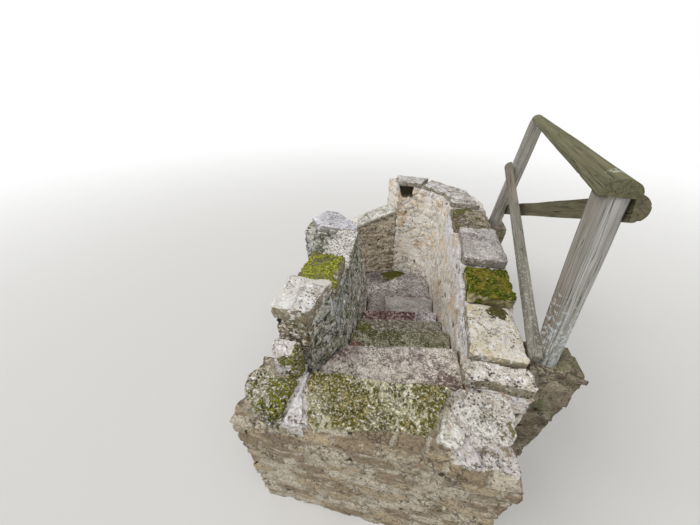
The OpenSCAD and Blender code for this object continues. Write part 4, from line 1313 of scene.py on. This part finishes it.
# 1 on the hollow's back and sides, where a stone is missing; the look's dark tint paints the hollow's shade
# there
def inHole(points):
    x, y, z = points[:, 0] - cornerX, points[:, 1] - cornerY, points[:, 2]
    reach = np.hypot(x, y) - cornerR(z)
    turn = np.arctan2(y, x) - math.radians(cornerWall["holeAt"])
    floor = cornerTop - cornerWall["holeHigh"]
    inside = (np.abs(turn) * cornerR(floor) < cornerWall["holeWidth"] * 0.6) & (z > floor - 0.03)
    deepest = smoothStep(cornerWall["holeDeep"] + 0.05, cornerWall["holeDeep"] + 0.03, reach)
    return smoothStep(0.012, 0.04, reach) * deepest * inside


masonryPiece({
    "name": "corner_wall_rubble", "nodes": ["corner_wall"], "seed": 520, "lengths": (1.4, 0.4, 1.525),
    "spacing": 0.0145, "stoneSize": (0.17, 0.17, 0.09), "smear": 0.06, "holeShare": 0.5, "top": cornerTop,
    "near": cornerOuter, "far": cornerInner, "holeShadeCover": inHole,
    "limeCover": lambda p: 0.5 * smoothStep(1.38, 1.48, p[:, 2]),
    "look": {
        **rubbleRight,
        "tints": [(247, 234, 216), (252, 245, 233), (240, 220, 196)], "dark": (88, 78, 54),
    },
})


# The end wall runs along its own frame, from where the way out's end cuts it off to the share s of its length
def endAlong(s, y):
    return endStart(y) + s * (endCoping["pierIn"] - endStart(y))


# Its near face is straight, and past the corner's middle it follows the cone: y is the root of r^2 - x^2
def endNear(s, z):
    reach = cornerR(z)
    x = endAlong(s, reach)
    y = np.where(x > 0, np.sqrt(np.maximum(reach ** 2 - np.maximum(x, 0) ** 2, 0)), reach)
    return endFrame(x, y)


def endFar(s, z):
    return endFrame(endAlong(s, endOut), np.full(len(s), endOut))


def endTopAt(s, t):
    return endZ(endAlong(s, cornerR(endTop) + t * (endOut - cornerR(endTop)))) - endThick


masonryPiece({
    "name": "end_wall_rubble", "nodes": ["end_wall"], "seed": 540, "lengths": (1.25, 0.3, 1.05),
    "stoneSize": (0.14, 0.14, 0.062), "proud": 0.018, "spacing": 0.013, "smear": -0.22, "holeShare": 0.5,
    "top": endTopAt, "near": endNear, "far": endFar,
    "mossCover": lambda p: -0.6 + 0.25 * smoothStep(0.4, 0.15, p[:, 2]),
    "look": {
        "tints": [(212, 202, 184), (228, 220, 204), (188, 176, 156)],
        "stones": [(182, 162, 136), (226, 212, 188), (146, 128, 104)], "stoneShare": 0.85,
        "mortar": [(222, 212, 194), (196, 184, 162)], "veins": ((240, 232, 216), 0.034, 9),
        "cracks": ((112, 98, 76), 0.014, 9), "dark": (72, 62, 46), "flecks": ((104, 90, 70), 0.28, 46),
        "moss": [(92, 92, 44), (122, 122, 58), (108, 102, 60)], "grain": 50, "bump": 0.01,
    },
})

# The bed of the threshold: its edges, where its far side steps from the left wall's end to the first riser and
# on to the right wall's, where it reaches further to carry the slab, and the mortar between the stones on it
threshold = {
    "left": -0.9045,
    "right": 0.6075,
    "near": -0.377,
    "deep": 0.37,
    "leftStart": -0.005,
    "rightStart": 0.06,
    "leftStep": (-0.56, -0.54),
    "rightStep": (0.43, 0.45),
    "carriesFrom": -0.55,
    "carriesTo": 0.012,
    "carriesAbove": (1.235, 1.25),
    "mortarBelow": 0.018,
    "mortarIn": (0.022, 0.034),
    "stripRaised": 0.01,
    "stripHalf": (0.1, 0.07),
}


def bedX(s):
    return threshold["left"] + s * (threshold["right"] - threshold["left"])


# Distance from the middle line of the strip of mortar, which runs aslant between the slab and the mossy block
def fromStrip(x, y):
    return np.abs(x + 0.555 + 0.15 * (y + 0.2))


# The bed of the threshold ends against the left wall, the first riser and the right wall in turn
def bedFar(s, z):
    x = bedX(s)
    skew = flight["thresholdSkew"]
    back = x * tanOf(skew) - (flight["overhang"] + flight["riserThick"]) / cosOf(skew)
    y = threshold["leftStart"] + (back - threshold["leftStart"]) * smoothStep(*threshold["leftStep"], x)
    y = y + (threshold["rightStart"] - y) * smoothStep(*threshold["rightStep"], x)
    further = np.maximum(x * tanOf(skew) - threshold["carriesTo"] - y, 0)
    y = y + further * smoothStep(*threshold["carriesAbove"], z) * (x > threshold["carriesFrom"])
    return x, y


# Behind its edges the bed fills the joints between the stones, to 18 mm below their tops
def bedTop(s, t):
    edge = np.minimum(np.minimum(s, 1 - s) * (threshold["right"] - threshold["left"]), t * threshold["deep"])
    seat = flight["groundZ"] - flight["thresholdThick"]
    strip = smoothStep(*threshold["stripHalf"], fromStrip(bedX(s), (t - 1) * threshold["deep"]))
    filled = flight["thresholdThick"] - threshold["mortarBelow"] + threshold["stripRaised"] * strip
    return seat + filled * smoothStep(*threshold["mortarIn"], edge)


masonryPiece({
    "name": "threshold_bed_rubble", "nodes": ["threshold_bed"], "seed": 560, "lengths": (1.56, 0.37, 1.245),
    "spacing": 0.0135, "holeShare": 0.55, "stoneSize": (0.19, 0.19, 0.11), "smear": -0.12, "top": bedTop,
    "near": lambda s, z: (bedX(s), np.full(len(s), threshold["near"])),
    "far": bedFar, "jointHalf": 0.01, "proud": 0.021, "level": -0.016,
    "limeCover": lambda p: smoothStep(1.26, 1.3, p[:, 2])
    * (0.9 * smoothStep(0.12, 0.06, fromStrip(p[:, 0], p[:, 1])) + 0.7 * smoothStep(0.2, 0.3, p[:, 0])),
    "look": {
        "tints": [(170, 158, 136), (192, 180, 158), (146, 134, 112)],
        "stones": [(190, 172, 142), (150, 134, 110), (212, 202, 182)], "stoneShare": 0.85,
        "mortar": [(204, 196, 178), (176, 164, 142)], "lime": (232, 226, 224),
        "cracks": ((104, 92, 72), 0.014, 9), "stain": ((142, 126, 104), 0.3, 6), "dark": (70, 60, 46),
        "flecks": ((112, 98, 78), 0.3, 60), "lichen": ((212, 206, 188), 0.26, 20), "bump": 0.01,
    },
})


# The course of stones under nosing i - 1, between the walls. Its faces lie at a depth behind the nosing's line:
# y is the nosing's y plus x times the skew's tangent, less the depth over its cosine.
def riserPiece(i, settings):
    skew = flight["thresholdSkew"] if i == 1 else flight["skew"]
    nose = flight["noseY"][i - 1]

    def line(s, z, depth):
        back = depth / cosOf(skew)
        y = nose + flight["half"] * (2 * s - 1) * tanOf(skew) - back
        x = leftX(y, z) + s * (rightX(y, z) - leftX(y, z))
        return x, nose + x * tanOf(skew) - back

    return masonryPiece({
        **settings,
        "name": "riser_%d_rubble" % i, "nodes": ["riser_%d" % i], "bottom": treadZ(i), "top": bedZ(i - 1),
        "near": lambda s, z: line(s, z, flight["overhang"] + flight["riserThick"]),
        "far": lambda s, z: line(s, z, flight["overhang"]),
    })


riserLook = {
    "tints": [(142, 134, 118), (162, 152, 136), (122, 114, 98)],
    "stones": [(152, 142, 124), (130, 118, 100), (172, 164, 148)],
    "mortar": [(156, 146, 126), (130, 120, 102)], "cracks": ((84, 74, 60), 0.024, 10),
    "stain": ((108, 94, 78), 0.4, 8), "green": ((112, 118, 78), 0.34, 8), "dark": (64, 56, 44),
    "flecks": ((88, 78, 64), 0.3, 60), "bump": 0.009,
}
riserStones = {
    "lengths": (0.83, 0.12, 0.075), "spacing": 0.012, "stoneSize": (0.17, 0.3, 0.09), "proud": 0.012,
    "level": -0.01, "smear": -0.3, "look": riserLook,
}
for i in range(1, 7):
    riserPiece(i, {**riserStones, "seed": 580 + 3 * i})

# The nosing line of the winder, from the way out's side: two short stretches and a long one towards the corner
winder = {
    "startX": -1.35 * flight["half"],
    "turnX": -1.28 * flight["half"],
    "turnAway": 0.3196,
    "bend": (-0.615 * flight["half"], 2.21),
    "turn": 43.0,
    "long": 1.5,
    "meetZ": 0.2,
}
winderDirection = np.array([cosOf(winder["turn"]), sinOf(winder["turn"])])
winderLine = np.array([
    (winder["startX"], flight["leftEnd"]),
    (winder["turnX"], flight["leftEnd"] + winder["turnAway"]),
    winder["bend"],
    np.array(winder["bend"]) + winder["long"] * winderDirection,
])


# Each point moves along the mean of the normals of its two stretches, so far that both keep their distance
def movedRight(line, by):
    d = np.diff(line, axis=0)
    n = np.column_stack([d[:, 1], -d[:, 0]]) / np.linalg.norm(d, axis=1)[:, None]
    a, b = np.vstack([n[:1], n]), np.vstack([n, n[-1:]])
    return line + by * (a + b) / (1 + np.sum(a * b, axis=1))[:, None]


# A point at the share s along the line, from the way out's side to where it meets the corner
def alongLine(line, s):
    reach = cornerR(winder["meetZ"])
    p, d = line[2] - np.array([cornerX, cornerY]), winderDirection
    b = p @ d
    last = -b + math.sqrt(b * b - p @ p + reach * reach)
    line = np.vstack([line[:3], line[2] + last * d])
    steps = np.concatenate([[0], np.cumsum(np.linalg.norm(np.diff(line, axis=0), axis=1))])
    at = s * steps[-1]
    return np.interp(at, steps, line[:, 0]), np.interp(at, steps, line[:, 1])


riserBack = movedRight(winderLine, flight["overhang"] + flight["riserThick"])
riserFront = movedRight(winderLine, flight["overhang"])
masonryPiece({
    **riserStones,
    "name": "riser_7_rubble", "nodes": ["riser_7"], "seed": 610, "lengths": (1.1, 0.12, 0.075),
    "bottom": flight["landingZ"],
    "top": bedZ(6),
    "near": lambda s, z: alongLine(riserBack, s),
    "far": lambda s, z: alongLine(riserFront, s),
})

fence = {
    "postIn": 0.125,
    "postStart": 0.285,
    "postD": 0.132,
    "bay": 1.945,
    "turn": 3.4,
    "nearLean": 8.5,
    "farLean": 4.0,
    "high": 1.07,
    "rise": 0.04,
    "socket": 0.42,
    "pierEdge": 0.06,
    "railD": 0.14,
    "railFarD": 0.096,
    "railEnd": 0.006,
    "braceD": 0.11,
    "braceEnd": 0.002,
    "braceNotch": 0.004,
    "braceHigh": 1.0,
    "braceLow": 0.19,
    "braceRise": 0.64,
}
nearX, nearY = flight["rightOut"] + fence["postIn"], flight["rightStart"] + fence["postStart"]
nearBase = np.array([nearX, nearY, flight["groundZ"]])
farBase = nearBase + fence["bay"] * np.array([sinOf(fence["turn"]), cosOf(fence["turn"]), 0])
postR = fence["postD"] / 2


# The footing of a post: a block from the right wall's outer face to a little past the post, all the way down
def pierPiece(name, base, lean, seed):
    side = postR + fence["pierEdge"]
    out = max(base[0], base[0] - fence["socket"] * tanOf(lean)) + side

    def line(s, y):
        return rightBack(y) + s * (out - rightBack(y)), np.full(len(s), y)

    return masonryPiece({
        "name": name + "_rubble", "nodes": [name], "seed": seed,
        "lengths": (out - flight["rightOut"], 2 * side, flight["groundZ"]),
        "spacing": 0.017, "stoneSize": (0.18, 0.18, 0.12),
        "top": flight["groundZ"],
        "near": lambda s, z: line(s, base[1] - side),
        "far": lambda s, z: line(s, base[1] + side),
        "look": {**riserLook, "tints": [(164, 152, 130), (184, 172, 150), (142, 130, 110)]},
    })


pierPiece("near_pier", nearBase, -fence["nearLean"], 630)
pierPiece("far_pier", farBase, fence["farLean"], 640)
print("masonry done")


# Fence

# What a pole has where its settings name nothing else: points around it, its grid, how thick its far end is as
# a share of its near one, the depths and sizes of its roughness, bow and checks, the rings of its ends, how far
# they shrink and how rough they are
poleDefaults = {
    "around": 104,
    "spacing": 0.019,
    "farScale": 1.0,
    "rough": 0.0022,
    "roughSize": 0.03,
    "bow": 0.003,
    "bowSize": 0.4,
    "check": 0.006,
    "checkSize": 0.034,
    "checkSpan": 0.35,
    "caps": 7,
    "shrink": (0.06, 0.97),
    "endRough": 0.002,
    "endSize": 0.02,
}


# A pole from a to b: a profile of radius against angle, carried along the line and closed at both ends by
# rings that shrink to a small face. The radius is roughened by noise stretched along the pole, and checks are
# grooves where such a noise crosses zero.
def poleShape(a, b, up, profile, settings):
    settings = {**poleDefaults, **settings}
    a, b, up = np.array(a, float), np.array(b, float), np.array(up, float)
    long = np.linalg.norm(b - a)
    axis = (b - a) / long
    side = np.cross(up, axis)
    side = side / np.linalg.norm(side)
    rise = np.cross(axis, side)
    around, caps = settings["around"], settings["caps"]
    steps = max(8, math.ceil(long / settings["spacing"]))
    ending = np.linspace(*settings["shrink"], caps)
    at = np.concatenate([np.zeros(caps), np.linspace(0, long, steps + 1), np.full(caps, long)])
    shrink = np.concatenate([ending, np.ones(steps + 1), np.linspace(*settings["shrink"][::-1], caps)])
    ring = np.arange(around)
    px, pz = profile(ring * 2 * math.pi / around)
    far = np.repeat(at[:, None], around, axis=1)
    scale = np.repeat(shrink[:, None], around, axis=1) * (1 + (settings["farScale"] - 1) * far / long)
    local = np.stack([(px * scale).ravel(), (pz * scale).ravel(), far.ravel()], axis=1)
    seed = settings["seed"]
    relief = settings["rough"] * roughNoise(local * np.array([1, 1, 0.1]), settings["roughSize"], seed, 3)
    relief = relief + settings["bow"] * softNoise(local, settings["bowSize"], seed + 5)
    line = np.abs(softNoise(local * np.array([1, 1, 0.055]), settings["checkSize"], seed + 9))
    gape = smoothStep(0.0, 0.6, softNoise(local, settings["checkSpan"], seed + 11))
    relief = relief - settings["check"] * smoothStep(0.07, 0.0, line) * gape
    radial = local[:, :2] / np.maximum(np.linalg.norm(local[:, :2], axis=1), 1e-9)[:, None]
    inCap = shrink < 1
    local[:, :2] += radial * (relief * np.repeat(np.where(inCap, 0.4, 1.0), around))[:, None]
    outward = np.repeat(np.where(at > 0, 1, -1) * inCap, around)
    local[:, 2] += outward * settings["endRough"] * softNoise(local, settings["endSize"], seed + 13)
    points = a + local[:, :1] * side + local[:, 1:2] * rise + local[:, 2:3] * axis
    marks = {key: valueOf(settings, key, points, local) for key in ("shade", "crust")}
    return {
        "points": points, "quads": ringQuads(len(at) - 1, around),
        "lids": [ring[::-1], (len(at) - 1) * around + ring],
        "marks": {"grain": local, **marks},
    }


def polePiece(name, shape, settings):
    material = timberMaterial(name + "_timber", settings["look"])
    return makePiece(name + "_pole", shape, material, [name])


# A circle whose width swells by 0.012 cos(2 turn + 0.7) and whose height swells by 0.01 cos(3 turn)
def roundProfile(radius):
    def profile(turn):
        x = radius * (1 + 0.012 * np.cos(2 * turn + 0.7)) * np.cos(turn)
        return x, radius * (1 + 0.01 * np.cos(3 * turn)) * np.sin(turn)
    return profile


# Half a circle above the flat side
def halfProfile(radius):
    def profile(turn):
        flat = turn > math.pi
        share = np.clip((turn - math.pi) / math.pi, 0, 1)
        x = np.where(flat, -radius + 2 * radius * share, radius * np.cos(turn))
        return x, np.where(flat, 0.0, radius * np.sin(turn))
    return profile


nearTop = nearBase + fence["high"] * np.array([-tanOf(fence["nearLean"]), 0, 1])
farTop = farBase + (fence["high"] + fence["rise"]) * np.array([tanOf(fence["farLean"]), 0, 1])
railAlong = (farTop - nearTop) / np.linalg.norm(farTop - nearTop)


# A leaning post, whose top ring is pushed onto the rail's flat underside
def postPiece(name, base, top, settings):
    axis = (top - base) / np.linalg.norm(top - base)
    foot = base - fence["socket"] * axis
    shape = poleShape(foot, top, (0, 1, 0), roundProfile(postR), settings)
    above = (shape["points"] - nearTop) @ np.array([0, -railAlong[2], railAlong[1]])
    shape["points"][:, 2] -= np.maximum(above + skin, 0)
    return polePiece(name, shape, settings)


silver = {
    "tints": [(168, 166, 158), (194, 192, 187), (140, 136, 127)], "algae": (148, 150, 136),
    "brown": (122, 106, 84), "lichen": (208, 216, 218), "crack": (84, 77, 66), "algaeShare": 0.35,
}


# How far a point lies to the right of the near post's middle line, in its radii
def leanOf(points):
    return (points[:, 0] - nearBase[0] + (points[:, 2] - nearBase[2]) * tanOf(fence["nearLean"])) / postR


postPiece("near_post", nearBase, nearTop, {
    "seed": 701, "slot": "grey_timber", "around": 116, "spacing": 0.015,
    "shade": lambda p, l: smoothStep(-0.55, -0.95, leanOf(p)) * (0.35 + 0.5 * smoothStep(2.1, 1.8, p[:, 2])),
    "check": 0.003,
    "crust": lambda p, l: 0.47 * smoothStep(1.1, 0.2, p[:, 2] - flight["groundZ"])
    + 0.12 * smoothStep(0.4, 0.9, leanOf(p)),
    "look": silver,
})
postPiece("far_post", farBase, farTop, {
    "seed": 711, "slot": "grey_timber", "around": 88, "shade": 0.2, "crust": 0.3,
    "look": silver,
})

rail = {
    "seed": 721, "slot": "green_timber", "around": 112, "farScale": fence["railFarD"] / fence["railD"],
    "check": 0.004, "shade": 0.05,
    "crust": lambda p, l: 0.38 * smoothStep(0.08, 0.0, np.hypot(l[:, 0], l[:, 2] - 0.12))
    + 0.17 * smoothStep(0.6, 0.1, l[:, 2]),
    "look": {
        "tints": [(104, 102, 75), (124, 121, 93), (87, 85, 60)], "algae": (99, 102, 66),
        "brown": (96, 80, 56), "lichen": (208, 210, 194), "crack": (66, 62, 44), "lichenScale": 60,
        "algaeShare": 0.6,
    },
}
railPast = (postR + fence["railEnd"]) * railAlong
railProfile = halfProfile(fence["railD"] / 2)
polePiece("top_rail", poleShape(nearTop - railPast, farTop + railPast, (0, 0, 1), railProfile, rail), rail)


# A brace runs on past the posts, its flat side let into them, its foot cut level with the ground
def bracePiece(name, a, b, side, settings):
    along = (b - a) / np.linalg.norm(b - a)
    past = (postR + fence["braceEnd"]) * along
    shape = poleShape(a - past, b + past, (side, 0, 0), halfProfile(fence["braceD"] / 2), settings)
    shape["points"][:, 2] = np.maximum(shape["points"][:, 2], flight["groundZ"] + skin)
    return polePiece(name, shape, settings)


braceIn = postR - fence["braceNotch"]
bracePiece(
    "brace_falling",
    nearBase + np.array([braceIn - fence["braceHigh"] * tanOf(fence["nearLean"]), 0, fence["braceHigh"]]),
    farBase + np.array([braceIn + fence["braceLow"] * tanOf(fence["farLean"]), 0, fence["braceLow"]]),
    1,
    {
        "seed": 731, "slot": "green_timber", "around": 92, "shade": 0.1, "crust": 0.26,
        "look": {
            "tints": [(103, 99, 77), (123, 119, 96), (88, 83, 63)], "algae": (94, 97, 71),
            "brown": (96, 74, 50), "lichen": (180, 178, 158), "crack": (60, 52, 38),
        },
    },
)
bracePiece(
    "brace_rising",
    nearBase + np.array([-braceIn, 0, fence["braceD"] / 2]),
    farBase + np.array([-braceIn + fence["braceRise"] * tanOf(fence["farLean"]), 0, fence["braceRise"]]),
    -1,
    {
        "seed": 741, "slot": "grey_timber", "around": 92,
        "shade": lambda p, l: smoothStep(1.75, 2.0, p[:, 2]) * 0.5,
        "crust": lambda p, l: 0.42 * smoothStep(2.0, 1.6, p[:, 2]),
        "look": {
            **silver,
            "tints": [(134, 130, 118), (156, 152, 140), (112, 106, 92)], "lichen": (184, 182, 172),
            "lichenScale": 50,
        },
    },
)
print("fence done")

# The bed under the treads keeps its CAD mesh, in dark packed rubble
bedMaterial = stoneMaterial("stair_bed_stone", {
    "tints": [(132, 122, 104), (150, 138, 120), (114, 104, 88)], "stain": ((98, 86, 70), 0.4, 6),
    "dots": ((72, 64, 52), 0.5, 40),
})
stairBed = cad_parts["stair_bed"]
stairBed.data.materials.clear()
stairBed.data.materials.append(bedMaterial)

# Studio: a pale floor that goes over into the white sky, a soft sky and two broad lamps
studio = {
    "floor": (214, 213, 210),
    "floorFar": (255, 255, 255),
    "fade": (2.5, 16.0),
    "floorHalf": 400.0,
    "sky": 0.43,
    "lamps": [
        {"strength": 1.38, "soft": 34.0, "turn": (0.0, -46.0, 20.0)},
        {"strength": 0.95, "soft": 50.0, "turn": (22.0, 0.0, 40.0)},
    ],
}

floorMesh = bpy.data.meshes.new("floor")
far = studio["floorHalf"]
floorMesh.from_pydata([(-far, -far, 0), (far, -far, 0), (far, far, 0), (-far, far, 0)], [], [(0, 1, 2, 3)])
floor = bpy.data.objects.new("floor", floorMesh)
bpy.context.scene.collection.objects.link(floor)
floorShader = Shader("floor_pale")
away = floorShader.node("VectorMath", {0: floorShader.place}, operation="LENGTH").outputs[1]
floorColour = floorShader.mix(floorShader.step(away, *studio["fade"]), studio["floor"], studio["floorFar"])
floorMesh.materials.append(floorShader.finish(floorColour, 0.0, 0.001, 0.95))

world = bpy.data.worlds.new("studio_sky")
bpy.context.scene.world = world
sky = NodeTree(world)
rays = sky.node("LightPath").outputs
seen = sky.node("Math", {0: rays["Is Camera Ray"], 1: rays["Is Glossy Ray"]}, operation="MAXIMUM").outputs[0]
strength = sky.node("MapRange", {0: seen, 3: studio["sky"], 4: 1.0}).outputs[0]
background = sky.node("Background", {"Color": (1, 1, 1, 1), "Strength": strength}).outputs[0]
sky.node("OutputWorld", {"Surface": background})

for k, lamp in enumerate(studio["lamps"]):
    lampData = bpy.data.lights.new("soft_sun_%d" % k, "SUN")
    lampData.energy = lamp["strength"]
    lampData.angle = math.radians(lamp["soft"])
    sun = bpy.data.objects.new("soft_sun_%d" % k, lampData)
    sun.rotation_euler = [math.radians(a) for a in lamp["turn"]]
    bpy.context.scene.collection.objects.link(sun)

# The view from above the threshold: 263 pixels of focal length for the photograph's 700 pixels of width
view = {"at": (-0.11, -0.91, 2.81), "down": 35.0, "left": 12.0, "focal": 263 / 700, "sensor": 36, "clip": 0.02}
cameraData = bpy.data.cameras.new("camera")
cameraData.sensor_fit = "HORIZONTAL"
cameraData.sensor_width = view["sensor"]
cameraData.lens = view["sensor"] * view["focal"]
cameraData.clip_start = view["clip"]
camera = bpy.data.objects.new("camera", cameraData)
camera.location = view["at"]
camera.rotation_euler = (math.radians(90 - view["down"]), 0, math.radians(view["left"]))
bpy.context.scene.collection.objects.link(camera)
bpy.context.scene.camera = camera
bpy.context.scene.view_settings.view_transform = "Standard"
print("studio done")
